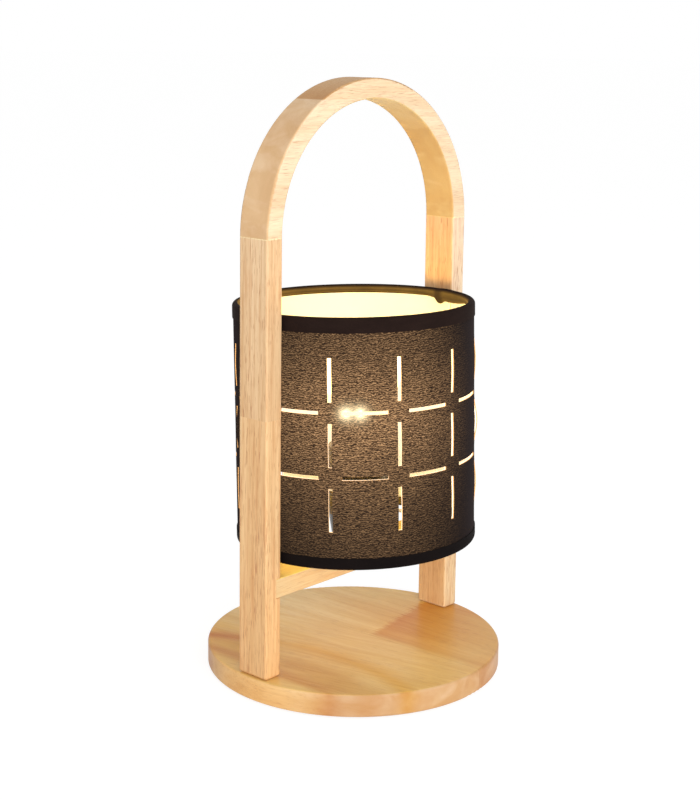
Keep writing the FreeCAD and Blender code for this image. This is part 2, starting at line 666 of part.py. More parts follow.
def make_spider_arms():
    """Bent wires from the lower wire ring up beside the lining and in to the hub."""
    body = new_body("spider_arms", "shade_foot", turn="arm_angle")
    section = new_sketch(body, "wire_section", "XY_Plane", "arm_foot")
    add_circle(section, "wire_circle", "0", "arm_wire_radius")
    path = new_sketch(body, "wire_path", "XZ_Plane")
    corner = Vector(worth("wire_circle"), worth("arm_top"), 0)
    bend = worth("arm_bend_radius")
    foot = Vector(corner.x, worth("arm_foot"), 0)
    below = corner - Vector(0, bend, 0)
    beside = corner - Vector(bend, 0, 0)
    inward = Vector(worth("hub_radius"), corner.y, 0)
    middle = beside - Vector(0, bend, 0) + Vector(bend, bend, 0) * 0.5 ** 0.5
    path.addGeometry(Part.LineSegment(foot, below))
    path.addGeometry(Part.Arc(below, middle, beside))
    path.addGeometry(Part.LineSegment(beside, inward))
    path.addConstraint(Sketcher.Constraint("Coincident", 0, 2, 1, 1))
    path.addConstraint(Sketcher.Constraint("Coincident", 1, 2, 2, 1))
    for edge, end, x, y in ((0, 1, "wire_circle", "arm_foot"),
                            (0, 2, "wire_circle", "arm_top - arm_bend_radius"),
                            (1, 2, "wire_circle - arm_bend_radius", "arm_top"),
                            (2, 2, "hub_radius", "arm_top")):
        bind(path, Sketcher.Constraint("DistanceX", -1, 1, edge, end, worth(x)), x)
        bind(path, Sketcher.Constraint("DistanceY", -1, 1, edge, end, worth(y)), y)
    bind(path, Sketcher.Constraint("Radius", 1, bend), "arm_bend_radius")
    doc.recompute()
    arm = body.newObject("PartDesign::AdditivePipe", "arm")
    arm.Profile = section
    arm.Spine = (path, ["Edge1", "Edge2", "Edge3"])
    doc.recompute()
    polar(body, "arms", arm, "360 / arm_count", "arm_count")


def make_rim_wire(label, height):
    body = new_body(label, height)
    sketch = add_circle(new_sketch(body, "wire_section", "XZ_Plane"),
                        "wire_circle", "0", "rim_wire_radius")
    wire = body.newObject("PartDesign::Revolution", "wire")
    wire.Profile = sketch
    wire.ReferenceAxis = (sketch, ["V_Axis"])
    wire.Angle = 360
    doc.recompute()


def make_shade_wall(label, outer, inner):
    """One layer of the drum, cut through by the pattern of upright and level slits."""
    body = new_body(label, "shade_foot + bead_radius", turn="seam_half_angle")
    ring_pad(body, "wall", outer, inner, "wall_height")
    upright = new_sketch(body, "upright_slits", "YZ_Plane")
    for row in range(int(worth("row_count"))):
        middle = "slit_middle + (0.5 * (row_count - 1) - %d) * row_pitch" % row
        add_box(upright, "-0.5 * slit_width", "0.5 * slit_width",
                middle + " - 0.5 * slit_length", middle + " + 0.5 * slit_length")
    column = extrude(body, "Pocket", "column", upright, "2 * shade_radius", reverse=True)
    polar(body, "columns", column, "column_angle", "column_count")
    level = new_sketch(body, "level_slits", "YZ_Plane", turn="0.5 * column_angle")
    for row in range(int(worth("cross_rows"))):
        middle = "slit_middle + (0.5 * (cross_rows - 1) - %d) * row_pitch" % row
        add_box(level, "-0.5 * cross_length", "0.5 * cross_length",
                middle + " - 0.5 * cross_width", middle + " + 0.5 * cross_width")
    cross = extrude(body, "Pocket", "cross", level, "2 * shade_radius", reverse=True)
    polar(body, "crosses", cross, "column_angle", "column_count - 1")


def hem_outline(way, rim):
    """Tape folded over a rim and its wire: way is 1 at the lower rim, -1 at the upper one."""
    def up(text):
        return "%s + %d * (%s)" % (rim, way, text)
    inside = "bead_radius - tape_thick"
    fold = "wire_circle - rim_wire_radius - laminate_gap"
    return [
        ("tape_outer", up("tape_height")),
        ("tape_outer", up("bead_radius")),
        ("bead_circle", up("0"), "bead_radius", -way),
        ("tape_inner", up("bead_radius"), "bead_radius", -way),
        ("tape_inner", up("bead_radius + hem_drop")),
        ("lining_bore - laminate_gap", up("bead_radius + hem_height")),
        ("lining_bore - laminate_gap", up("bead_radius + hem_height - 1.4 * tape_thick")),
        (fold, up("bead_radius + hem_drop - 0.4 * tape_thick")),
        (fold, up("bead_radius")),
        ("bead_circle", up("tape_thick"), inside, way),
        ("tape_outer - tape_thick", up("bead_radius"), inside, way),
        ("tape_outer - tape_thick", up("tape_height")),
    ]


def make_bottom_tape():
    body = new_body("bottom_tape", "shade_foot", turn="arm_angle")
    revolve(body, "tape", hem_outline(1, "0"))
    notch = add_circle(new_sketch(body, "notch_outline", "XY_Plane", "bead_radius"),
                       "wire_circle", "0", "arm_wire_radius + arm_notch_gap")
    hole = extrude(body, "Pocket", "notch", notch, "tape_height", reverse=True)
    polar(body, "notches", hole, "360 / arm_count", "arm_count")


def make_top_tape():
    body = new_body("top_tape", "shade_foot")
    revolve(body, "tape", hem_outline(-1, "shade_height"))


def make_bulb_globe():
    body = new_body("bulb_globe", "bulb_foot")
    rest = "(bulb_radius - bulb_wall)"
    sine = "((globe_centre - cone_top) / %s)" % rest
    revolve(body, "globe", [
        ("cone_radius", "cone_top"),
        ("bulb_radius", "globe_centre", "bulb_radius", 1),
        ("0", "bulb_length", "bulb_radius", 1),
        ("0", "bulb_length - bulb_wall"),
        (rest, "globe_centre", rest, -1),
        ("%s * sqrt(1 - %s * %s)" % (rest, sine, sine), "cone_top", rest, -1),
    ])


def make_bulb_cone():
    body = new_body("bulb_cone", "bulb_foot")
    revolve(body, "cone", [
        ("0", "cone_foot"),
        ("bulb_skirt_radius - bulb_skirt_round", "cone_foot"),
        ("bulb_skirt_radius", "cone_foot + bulb_skirt_round", "bulb_skirt_round", 1),
        ("cone_radius", "cone_top"),
        ("board_radius", "cone_top"),
        ("board_radius", "cone_top - board_seat"),
        ("0", "cone_top - board_seat"),
    ])


def make_bulb_cap():
    body = new_body("bulb_cap", "bulb_foot")
    revolve(body, "cap", [
        ("0", "shell_foot"),
        ("insulator_radius", "shell_foot"),
        ("bulb_cap_radius", "shell_foot + bulb_cap_radius - insulator_radius"),
        ("bulb_cap_radius", "cone_foot"),
        ("0", "cone_foot"),
    ])


def make_bulb_insulator():
    body = new_body("bulb_insulator", "bulb_foot")
    revolve(body, "insulator", [
        ("0", "insulator_foot"),
        ("bulb_contact_radius", "insulator_foot"),
        ("insulator_radius", "shell_foot"),
        ("0", "shell_foot"),
    ])


def make_bulb_contact():
    body = new_body("bulb_contact", "bulb_foot")
    revolve(body, "contact", [
        ("0", "0"),
        ("0.6 * bulb_contact_radius", "0"),
        ("bulb_contact_radius", "bulb_contact_height"),
        ("0", "bulb_contact_height"),
    ])


def make_lamp_board():
    body = new_body("lamp_board", "bulb_foot")
    plan = add_circle(new_sketch(body, "board_outline", "XY_Plane", "cone_top - board_seat"),
                      "0", "0", "board_radius - thread_gap")
    extrude(body, "Pad", "board", plan, "board_thick")
    square = add_box(new_sketch(body, "chip_outline", "XY_Plane", "board_top"),
                     "chip_circle - 0.5 * chip_size", "chip_circle + 0.5 * chip_size",
                     "-0.5 * chip_size", "0.5 * chip_size")
    chip = extrude(body, "Pad", "chip", square, "chip_thick")
    polar(body, "chips", chip, "360 / chip_count", "chip_count")


make_base_disc()
make_foot_pads()
make_base_screws()
make_post("post_left", -1)
make_post("post_right", 1)
make_arch()
make_arch_dowels()
make_crossbar()
make_nipple()
make_nipple_nut()
make_nipple_washer()
make_holder_cap()
make_holder_insert()
make_terminal_screws()
make_centre_contact()
make_screw_shell()
make_holder_skirt()
make_shade_ring()
make_spider_hub()
make_spider_arms()
make_rim_wire("bottom_wire", "shade_foot + bead_radius")
make_rim_wire("top_wire", "shade_top - bead_radius")
make_shade_wall("shade_fabric", "shade_radius", "shade_radius - fabric_thick")
make_shade_wall("shade_lining", "lining_radius", "lining_bore")
make_bottom_tape()
make_top_tape()
make_bulb_globe()
make_bulb_cone()
make_bulb_cap()
make_bulb_insulator()
make_bulb_contact()
make_lamp_board()
doc.recompute()

for item in doc.Objects:
    if "Invalid" in item.State or "Error" in item.State:
        raise RuntimeError("%s did not build: %s" % (item.Label, item.State))

os.makedirs("parts", exist_ok=True)
pieces = [item for item in doc.Objects if item.isDerivedFrom("PartDesign::Body")]
for piece in pieces:
    shape = piece.Shape
    if shape.isNull() or not shape.isValid() or not shape.Solids:
        raise RuntimeError(piece.Label + " has no valid solid")
for piece in pieces:
    piece.Shape.exportStep("parts/%s.step" % piece.Label)
    box = piece.Shape.BoundBox
    print("%-16s %2d solids  volume %10.1f  z %.2f to %.2f" % (
        piece.Label, len(piece.Shape.Solids), piece.Shape.Volume, box.ZMin, box.ZMax))
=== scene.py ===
import math

import bpy
from mathutils import Matrix, Vector, noise


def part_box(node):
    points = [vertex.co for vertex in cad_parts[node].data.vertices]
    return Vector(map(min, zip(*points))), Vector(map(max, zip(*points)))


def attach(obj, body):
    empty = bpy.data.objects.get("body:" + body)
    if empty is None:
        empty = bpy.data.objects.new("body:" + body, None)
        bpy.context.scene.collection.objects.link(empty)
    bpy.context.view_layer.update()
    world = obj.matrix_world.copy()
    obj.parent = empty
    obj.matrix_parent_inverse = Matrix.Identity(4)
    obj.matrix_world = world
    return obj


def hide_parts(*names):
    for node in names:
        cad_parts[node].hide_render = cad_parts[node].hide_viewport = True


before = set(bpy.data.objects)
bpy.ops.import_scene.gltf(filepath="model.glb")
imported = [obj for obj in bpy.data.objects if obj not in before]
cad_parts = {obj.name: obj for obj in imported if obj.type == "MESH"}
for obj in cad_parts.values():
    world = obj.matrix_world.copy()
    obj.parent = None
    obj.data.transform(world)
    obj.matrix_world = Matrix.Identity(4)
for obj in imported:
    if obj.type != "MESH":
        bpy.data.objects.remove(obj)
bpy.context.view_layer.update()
bpy.ops.object.select_all(action="DESELECT")
mm = 0.001
turn = 2 * math.pi

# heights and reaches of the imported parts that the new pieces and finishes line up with
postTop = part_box("post_left")[1].z
wallLow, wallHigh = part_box("shade_fabric")[0].z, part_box("shade_fabric")[1].z
rimLow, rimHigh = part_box("bottom_tape")[0].z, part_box("top_tape")[1].z
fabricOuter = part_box("shade_fabric")[1].y
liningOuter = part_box("shade_lining")[1].y
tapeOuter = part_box("top_tape")[1].y
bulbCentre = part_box("bulb_globe")[1].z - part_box("bulb_globe")[1].y
print("frame loaded:", len(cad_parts), "nodes")


# the photograph's view: angles in degrees, distance and height in metres, lens in millimetres
view = {"azimuth": -48.08, "elevation": 9.22, "roll": 0.77, "distance": 1.04779,
        "targetHeight": 0.25667, "lens": 70.739, "sensor": 36, "shiftX": -0.01009, "shiftY": -0.1352,
        "nearest": 0.05}


def addCamera():
    side, rise = math.radians(view["azimuth"]), math.radians(view["elevation"])
    away = Vector((math.sin(side) * math.cos(rise), -math.cos(side) * math.cos(rise), math.sin(rise)))
    bpy.ops.object.camera_add()
    camera = bpy.context.object
    camera.name = "camera"
    camera.location = Vector((0, 0, view["targetHeight"])) + away * view["distance"]
    lean = Matrix.Rotation(math.pi / 2 - rise, 3, "X") @ Matrix.Rotation(math.radians(view["roll"]), 3, "Z")
    camera.rotation_euler = (Matrix.Rotation(side, 3, "Z") @ lean).to_euler()
    camera.data.lens = view["lens"]
    camera.data.sensor_width = view["sensor"]
    camera.data.shift_x = view["shiftX"]
    camera.data.shift_y = view["shiftY"]
    camera.data.clip_start = view["nearest"]
    bpy.context.scene.camera = camera
    bpy.context.scene.view_settings.view_transform = "Standard"


# helpers for node materials

def addNode(kind, inputs, tree=None, **settings):
    # a node stands in the tree of the sockets that feed it, unless a tree is given
    sockets = {key: value for key, value in inputs.items() if isinstance(value, bpy.types.NodeSocket)}
    tree = tree or next(iter(sockets.values())).id_data
    made = tree.nodes.new("ShaderNode" + kind)
    for name, value in settings.items():
        setattr(made, name, value)
    for key, value in inputs.items():
        if key in sockets:
            tree.links.new(value, made.inputs[key])
        else:
            made.inputs[key].default_value = value
    return made


def startMaterial(name, finish):
    material = bpy.data.materials.new(name)
    material.use_nodes = True
    shader = material.node_tree.nodes["Principled BSDF"]
    for socket, value in finish.items():
        shader.inputs[socket].default_value = value
    return material, material.node_tree, shader


def feed(shader, socket, value):
    shader.id_data.links.new(value, shader.inputs[socket])


def spotOf(tree, kind="Object"):
    return addNode("TexCoord", {}, tree).outputs[kind]


def split(value):
    return addNode("SeparateXYZ", {"Vector": value}).outputs


def rgb(red, green, blue):
    return (red, green, blue, 1)


def toned(colour, red, green, blue):
    return rgb(colour[0] * red, colour[1] * green, colour[2] * blue)


def mix(factor, first, second, blend="MIX"):
    made = addNode("Mix", {0: factor, 6: first, 7: second}, data_type="RGBA", blend_type=blend)
    return made.outputs[2]


def deepen(colour, factor, tone, blend="MULTIPLY"):
    return mix(factor, colour, mix(1, colour, tone, blend))


def calc(operation, first, second=0.5):
    made = addNode("Math", {0: first, 1: second}, operation=operation)
    return made.outputs[0]


def plus(first, second):
    return calc("ADD", first, second)


def minus(first, second):
    return calc("SUBTRACT", first, second)


def times(first, second):
    return calc("MULTIPLY", first, second)


def fallOff(off):
    # 1 at the middle of a bell and less to both sides
    return calc("EXPONENT", times(times(off, off), -1))


def vectorCalc(operation, first, second=(0, 0, 0)):
    made = addNode("VectorMath", {0: first, 1: second}, operation=operation)
    return made.outputs["Value" if operation in ("LENGTH", "DOT_PRODUCT") else "Vector"]


def scaled(colour, factor):
    return addNode("VectorMath", {0: colour, "Scale": factor}, operation="SCALE").outputs[0]


def remap(value, low, high, start=0, end=1):
    made = addNode("MapRange", {"Value": value, "From Min": low, "From Max": high,
                                "To Min": start, "To Max": end})
    return made.outputs[0]


def ramp(value, stops):
    made = addNode("ValToRGB", {"Fac": value})
    elements = made.color_ramp.elements
    elements.remove(elements[1])
    elements[0].position, elements[0].color = stops[0]
    for place, colour in stops[1:]:
        elements.new(place).color = colour
    return made.outputs["Color"]


def grains(place, size, detail=2, roughness=0.5, seed=0, distortion=0):
    # noise with grains of a size in millimetres along each axis
    scale = [1 / (mm * part) for part in size]
    shift = (seed, seed * 1.7, seed * 2.3)
    moved = addNode("Mapping", {"Vector": place, "Location": shift, "Scale": scale})
    made = addNode("TexNoise", {"Vector": moved.outputs[0], "Scale": 1, "Detail": detail,
                                "Roughness": roughness, "Distortion": distortion})
    return made.outputs["Fac"]


def addBump(shader, height, depth, strength=1):
    # depth in millimetres
    made = addNode("Bump", {"Height": height, "Strength": strength, "Distance": depth * mm})
    feed(shader, "Normal", made.outputs[0])


def dress(node, material):
    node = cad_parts[node] if isinstance(node, str) else node
    node.data.materials.clear()
    node.data.materials.append(material)


# wood: long bands, fibres and short dark pores along one axis of each piece; sizes in millimetres, but
# the height of the glue in metres
wood = {
    "grainAxis": 2, "grainTurn": 0, "seed": 1.0, "low": rgb(0.86, 0.56, 0.28), "high": rgb(0.88, 0.63, 0.36),
    "band": rgb(0.90, 0.84, 0.78), "bandWidth": 15, "bandLength": 260, "bandTwist": 0.5,
    "bandRange": (0.35, 0.65),
    "fibre": rgb(0.88, 0.82, 0.77), "fibreWidth": 0.75, "fibreLength": 26, "fibreRange": (0.36, 0.66),
    "streak": rgb(0.88, 0.74, 0.66), "streakWidth": 2.2, "streakLength": 60, "streakRange": (0.48, 0.70),
    "pore": rgb(0.46, 0.18, 0.08), "poreWidth": 0.40, "poreLength": 9, "poreDepth": 0.7,
    "poreAmount": 0.625, "poreSpread": 0.28, "patchWidth": 9, "patchLength": 45,
    "blotch": (26, 26, 13), "mottle": rgb(0.94, 0.90, 0.86), "mottleRange": (0.46, 0.62),
    "joint": 0, "jointTone": rgb(1.03, 1.0, 0.94), "jointShift": 1.7,
    "staveWidth": 0, "staveStart": 0, "staveLean": 0, "stave": rgb(0.94, 0.90, 0.84),
    "seam": rgb(0.72, 0.6, 0.5), "seamWidth": 0.4, "zones": (), "zoneFray": 1.6, "figure": {},
    "glue": 0, "glueColour": rgb(0.98, 0.84, 0.52), "glueWidth": (0.25, 0.55), "glueCrumb": 1.4,
    # the top tone darkens the faces that look up: painted shade
    "end": rgb(0.86, 0.80, 0.74), "endRange": (0.25, 0.6), "top": rgb(1, 1, 1), "paintedTopShadeRange": (0.7, 0.97),
    # the bulb-side tone warms the faces turned to the bulb: painted light
    "paintedBulbLight": rgb(0.95, 0.74, 0.48), "paintedBulbLightRange": (0.2, 0.6),
    "roughness": 0.5, "gloss": 0.2, "coat": 0.0, "coatRoughness": 0.26, "relief": 0.06,
}
woodPieces = {
    "post_left": {"seed": 1.3, "joint": 186.5, "glue": postTop, "high": rgb(0.88, 0.65, 0.40)},
    "post_right": {"seed": 4.1, "low": rgb(0.87, 0.67, 0.40), "high": rgb(0.96, 0.77, 0.57),
                   "glue": postTop, "paintedBulbLight": rgb(0.82, 0.66, 0.48)},
    "arch": {"seed": 7.7, "grainAxis": 0, "low": rgb(0.95, 0.78, 0.56), "high": rgb(0.94, 0.74, 0.50),
             "end": rgb(0.79, 0.64, 0.49), "mottle": rgb(1.07, 1.14, 1.28), "top": rgb(0.72, 0.57, 0.40),
             "paintedTopShadeRange": (0.4, 0.6), "joint": 385.3, "jointTone": rgb(1.01, 1.05, 1.10),
             "bandWidth": 22, "bandLength": 120, "fibre": rgb(0.93, 0.88, 0.83),
             "streak": rgb(0.96, 0.90, 0.85), "poreWidth": 0.27, "poreLength": 10, "poreDepth": 0.6,
             "poreAmount": 0.62, "glue": postTop, "paintedBulbLight": rgb(0.79, 0.80, 0.62)},
    "crossbar": {"seed": 2.9, "grainAxis": 0, "low": rgb(0.81, 0.59, 0.315), "high": rgb(0.81, 0.59, 0.315),
                 "paintedBulbLight": rgb(1.175, 1.21, 0.57), "poreDepth": 0.3, "band": rgb(0.94, 0.90, 0.86),
                 "fibre": rgb(0.95, 0.90, 0.86), "streak": rgb(0.96, 0.88, 0.82)},
    "base_disc": {
        "seed": 5.2, "grainAxis": 1, "grainTurn": 3.2, "low": rgb(0.89, 0.61, 0.29),
        "high": rgb(0.89, 0.61, 0.29), "band": rgb(0.90, 0.79, 0.66), "bandWidth": 26, "bandLength": 200,
        "bandTwist": 0.8, "fibre": rgb(0.94, 0.90, 0.86), "streak": rgb(0.94, 0.87, 0.80),
        "streakWidth": 3.4, "streakLength": 90, "staveWidth": 110, "staveStart": 8.3, "staveLean": 0.17,
        # middle, slope and curve of each growth zone, its width, where it fades in, and its tone
        "zones": (
            (-36.4, -0.105, -3.14, 7, (28, 54), rgb(0.78, 0.47, 0.12)),
            (-36.4, -0.105, -3.14, 7, (44, 14), rgb(0.95, 0.80, 0.46)),
            (-82, 0.056, 0, 6, (-60, -50), rgb(0.87, 0.70, 0.54)),
            (-66, 0.056, 0, 13, (18, 0), rgb(0.86, 0.72, 0.54)),
            (-70, 0.056, 0, 22, (10, 40), rgb(0.95, 0.80, 0.42)),
            (-4, 0.056, 0, 26, (-90, -60), rgb(1.02, 1.06, 1.22)),
            (34, 0.056, 0, 34, (0, 60), rgb(1.04, 1.12, 1.44)),
            (-66, 0.056, 0, 22, (-42, -62), rgb(1.06, 1.18, 1.45)),
            (22, 0, 0, 30, (-82, -96), rgb(0.99, 0.88, 0.75)),
            (-98, 0, 0, 9, (-30, 0), rgb(0.98, 0.88, 0.74))),
        "figure": {"side": 9, "near": -7, "slope": -0.14, "reach": 105, "teeth": 26, "blur": 3,
                   "sideBlur": (-2, 6), "least": 0.15, "tone": rgb(0.84, 0.57, 0.27)},
        "end": rgb(0.73, 0.65, 0.63), "mottle": rgb(1.08, 1.20, 1.5), "top": rgb(0.91, 0.96, 0.78),
        "paintedBulbLight": rgb(1, 1, 1), "poreDepth": 0.3, "roughness": 0.4, "coat": 0.17},
}


def moveGrain(place, x, y=0, z=0):
    # reads the grain elsewhere, so that each length or board has its own
    shift = addNode("CombineXYZ", {0: x, 1: y, 2: z}).outputs[0]
    return vectorCalc("ADD", place, shift)


def addZones(look, apart, patches, colour):
    # broad growth zones that bend across the board
    for middle, slope, curve, width, fading, tone in look["zones"]:
        bend = plus(times(apart[1], curve), slope)
        off = minus(apart[0], times(bend, apart[1]))
        off = calc("DIVIDE", minus(off, middle * mm), width * mm)
        off = plus(off, times(minus(patches, 0.5), look["zoneFray"]))
        fade = remap(apart[1], fading[0] * mm, fading[1] * mm)
        colour = deepen(colour, times(fallOff(off), fade), tone)
    return colour


def addFigure(figure, apart, fibres, colour):
    # a figured part of one board, with a toothed end where its fibres lean over
    inside = minus(apart[0], figure["side"] * mm)
    past = minus(figure["near"] * mm, apart[1])
    past = minus(past, times(inside, figure["slope"]))
    toothed = plus(past, times(fibres, figure["teeth"] * mm))
    start = 0.5 * figure["teeth"]
    share = remap(inside, figure["sideBlur"][0] * mm, figure["sideBlur"][1] * mm)
    share = times(share, remap(toothed, start * mm, (start + figure["blur"]) * mm))
    share = times(share, remap(past, 0, figure["reach"] * mm, 1, figure["least"]))
    return deepen(colour, share, figure["tone"])


def addGlue(look, spot, height, colour):
    # a film of glue at the joint of post and arch, squeezed out in crumbs
    line = calc("ABSOLUTE", minus(height, look["glue"]))
    line = remap(line, look["glueWidth"][0] * mm, look["glueWidth"][1] * mm, 1, 0)
    crumbs = grains(spot, [look["glueCrumb"]] * 3, 2, 0.6, 12)
    line = times(line, remap(crumbs, 0.38, 0.6, 0.15, 0.85))
    return mix(line, colour, look["glueColour"])


def woodMaterial(name, look):
    material, tree, shader = startMaterial(name, {
        "Roughness": look["roughness"], "Specular IOR Level": look["gloss"],
        "Coat Weight": look["coat"], "Coat Roughness": look["coatRoughness"]})
    spot, normal = spotOf(tree), spotOf(tree, "Normal")
    place = spot
    if look["grainTurn"]:
        place = addNode("VectorRotate", {"Vector": spot, "Angle": math.radians(-look["grainTurn"])},
                        rotation_type="Z_AXIS").outputs[0]
    apart = split(place)
    facing = split(normal)
    axis = look["grainAxis"]
    endFace = remap(calc("ABSOLUTE", facing[axis]), *look["endRange"])
    sideFace = remap(endFace, 0, 1, 1, 0.25)
    if look["joint"]:
        # two lengths glued together: the lower one has its own grain
        lower = remap(apart[2], look["joint"] * mm * 1.0001, look["joint"] * mm)
        place = moveGrain(place, times(lower, look["jointShift"]))
    if look["staveWidth"]:
        # the glued boards of the base each have their own grain and tone
        across = minus(apart[0], look["staveStart"] * mm)
        board = calc("FLOOR", calc("DIVIDE", across, look["staveWidth"] * mm))
        stave = addNode("TexWhiteNoise", {"W": board}, noise_dimensions="1D").outputs["Value"]
        leaning = times(calc("LESS_THAN", across, 0), look["staveLean"])
        leaning = plus(stave, times(leaning, apart[1]))
        place = moveGrain(place, leaning, times(stave, 3.1), stave)

    def strands(kind, detail, roughness, offset=0, twist=0):
        size = [look[kind + ("Length" if index == axis else "Width")] for index in range(3)]
        return grains(place, size, detail, roughness, look["seed"] + offset, twist)

    bands = strands("band", 3, 0.5, twist=look["bandTwist"])
    fibres = strands("fibre", 4, 0.65)
    streaks = strands("streak", 3, 0.6, 3)
    dashes = strands("pore", 1, 0.4)
    patches = strands("patch", 2, 0.5, 9)
    blotches = grains(place, look["blotch"], 3, 0.55, look["seed"] + 5, 0.6)

    colour = mix(remap(apart[2], 0, postTop), look["low"], look["high"])
    colour = deepen(colour, remap(bands, *look["bandRange"]), look["band"])
    for kind, grain in (("fibre", fibres), ("streak", streaks)):
        share = times(remap(grain, *look[kind + "Range"]), sideFace)
        colour = deepen(colour, share, look[kind])
    # pores crowd together in patches
    edge = look["poreAmount"] + 0.5 * look["poreSpread"]
    edge = minus(edge, times(patches, look["poreSpread"]))
    pores = times(remap(minus(dashes, edge), 0.0, 0.05), sideFace)
    colour = mix(times(pores, look["poreDepth"]), colour, look["pore"])
    mottled = times(remap(blotches, *look["mottleRange"]), endFace)
    colour = deepen(colour, mottled, look["mottle"])
    if look["joint"]:
        colour = deepen(colour, lower, look["jointTone"])
    colour = addZones(look, apart, patches, colour)
    if look["figure"]:
        colour = addFigure(look["figure"], apart, fibres, colour)
    if look["staveWidth"]:
        colour = deepen(colour, stave, look["stave"])
        seam = calc("PINGPONG", across, 0.5 * look["staveWidth"] * mm)
        colour = deepen(colour, remap(seam, 0, look["seamWidth"] * mm, 0.5, 0), look["seam"])
    if look["glue"]:
        colour = addGlue(look, spot, apart[2], colour)
    # end grain drinks more oil; then the faces that look up get a painted shade, and the faces turned to the
    # bulb painted warm light
    colour = deepen(colour, endFace, look["end"])
    # painted shade: faces that look up take the top tone, as if less lit from above
    upper = remap(facing[2], *look["paintedTopShadeRange"])
    if look["joint"]:
        upper = times(upper, minus(1, lower))
    colour = deepen(colour, upper, look["top"])
    # painted light: faces turned to the bulb are warmed as if lit by it
    inward = vectorCalc("SUBTRACT", (0, 0, bulbCentre), spot)
    inward = vectorCalc("DOT_PRODUCT", vectorCalc("NORMALIZE", inward), normal)
    colour = deepen(colour, remap(inward, *look["paintedBulbLightRange"]), look["paintedBulbLight"])
    feed(shader, "Base Color", colour)
    rough = remap(fibres, 0.3, 0.7, look["roughness"] - 0.06, look["roughness"] + 0.08)
    feed(shader, "Roughness", rough)
    addBump(shader, minus(times(fibres, 0.4), pores), look["relief"], 0.5)
    return material


def finishWood():
    for node, own in woodPieces.items():
        dress(node, woodMaterial(node + "_wood", {**wood, **own}))
    dress("arch_dowels", woodMaterial("dowel_wood", {**wood, "seed": 8.8}))
    print("wood finished")


# plain rigid finishes: colour, roughness, and the size and depth of their grain in millimetres
plain = {"metal": 0, "grain": 0.35, "depth": 0.01, "cloud": 9, "worn": 0.8, "nodes": ()}
finishes = {
    "pad_rubber": {
        "colour": rgb(0.03, 0.03, 0.032), "roughness": 0.8, "grain": 0.5, "depth": 0.05,
        "nodes": ("foot_pads",)},
    "zinc_steel": {
        "colour": rgb(0.62, 0.61, 0.58), "roughness": 0.34, "metal": 1, "grain": 0.8,
        "nodes": ("base_screws", "nipple", "nipple_nut", "nipple_washer")},
    "black_plastic": {
        "colour": rgb(0.030, 0.024, 0.016), "roughness": 0.27,
        "nodes": ("holder_cap", "holder_skirt", "shade_ring")},
    # painted light: the skirt's black plastic made warm brown, so that its thread looks lit by the bulb
    "skirt_plastic_painted_warm": {"colour": rgb(0.12, 0.08, 0.026), "roughness": 0.24},
    "insert_ceramic": {
        "colour": rgb(0.78, 0.76, 0.7), "roughness": 0.3, "grain": 1.5, "depth": 0.03,
        "nodes": ("holder_insert",)},
    "contact_brass": {
        "colour": rgb(0.78, 0.55, 0.22), "roughness": 0.3, "metal": 1, "grain": 1.2,
        "nodes": ("terminal_screws", "centre_contact", "screw_shell")},
    "painted_wire": {
        "colour": rgb(0.75, 0.73, 0.68), "roughness": 0.4, "grain": 1.0, "depth": 0.02,
        "nodes": ("spider_hub", "spider_arms", "bottom_wire", "top_wire")},
    "nickel_cap": {
        "colour": rgb(0.72, 0.69, 0.62), "roughness": 0.24, "metal": 1, "grain": 1.1,
        "nodes": ("bulb_cap",)},
    "black_glass": {
        "colour": rgb(0.012, 0.012, 0.014), "roughness": 0.12, "grain": 3.0, "depth": 0.02,
        "nodes": ("bulb_insulator",)},
    "solder": {
        "colour": rgb(0.6, 0.6, 0.6), "roughness": 0.36, "metal": 1, "grain": 0.9, "depth": 0.06,
        "nodes": ("bulb_contact",)},
    "board_aluminium": {
        "colour": rgb(0.82, 0.82, 0.8), "roughness": 0.42, "metal": 1, "grain": 0.3,
        "nodes": ("lamp_board",)},
}


def rigidMaterial(name, look):
    material, tree, shader = startMaterial(name, {"Metallic": look["metal"]})
    place = spotOf(tree)
    fine = grains(place, [look["grain"]] * 3, 3, 0.6)
    cloud = grains(place, [look["cloud"]] * 3, 2, 0.5, 4)
    worn = toned(look["colour"], *[look["worn"]] * 3)
    feed(shader, "Base Color", mix(remap(cloud, 0.3, 0.7), look["colour"], worn))
    rough = remap(fine, 0.3, 0.7, look["roughness"] - 0.05, look["roughness"] + 0.07)
    feed(shader, "Roughness", rough)
    addBump(shader, fine, look["depth"], 0.6)
    return material


def finishRigid():
    made = {}
    for name, own in finishes.items():
        look = {**plain, **own}
        made[name] = rigidMaterial(name, look)
        for node in look["nodes"]:
            dress(node, made[name])
    print("holder, wires and fastenings finished")
    return made


# the lit bulb: an opal globe, a little dimmer near its collar, and a plastic cone under it with a painted
# glow
glow = {"colour": rgb(1.0, 0.72, 0.26), "strength": 8.0, "collarStrength": 5.5, "collarHeight": 12,
        "conePaintedGlowTop": 1.5, "conePaintedGlowFoot": 0.35, "opal": rgb(0.9, 0.88, 0.82), "plastic": rgb(0.82, 0.81, 0.77),
        "roughness": 0.35, "grain": 2.5, "depth": 0.02}


def lightUp(name, node, tint, foot, top, lowStrength, highStrength):
    material, tree, shader = startMaterial(name, {
        "Base Color": tint, "Roughness": glow["roughness"], "Emission Color": glow["colour"]})
    place = spotOf(tree)
    bright = remap(split(place)[2], foot, top, lowStrength, highStrength)
    feed(shader, "Emission Strength", bright)
    addBump(shader, grains(place, [glow["grain"]] * 3, 2), glow["depth"], 0.3)
    dress(node, material)


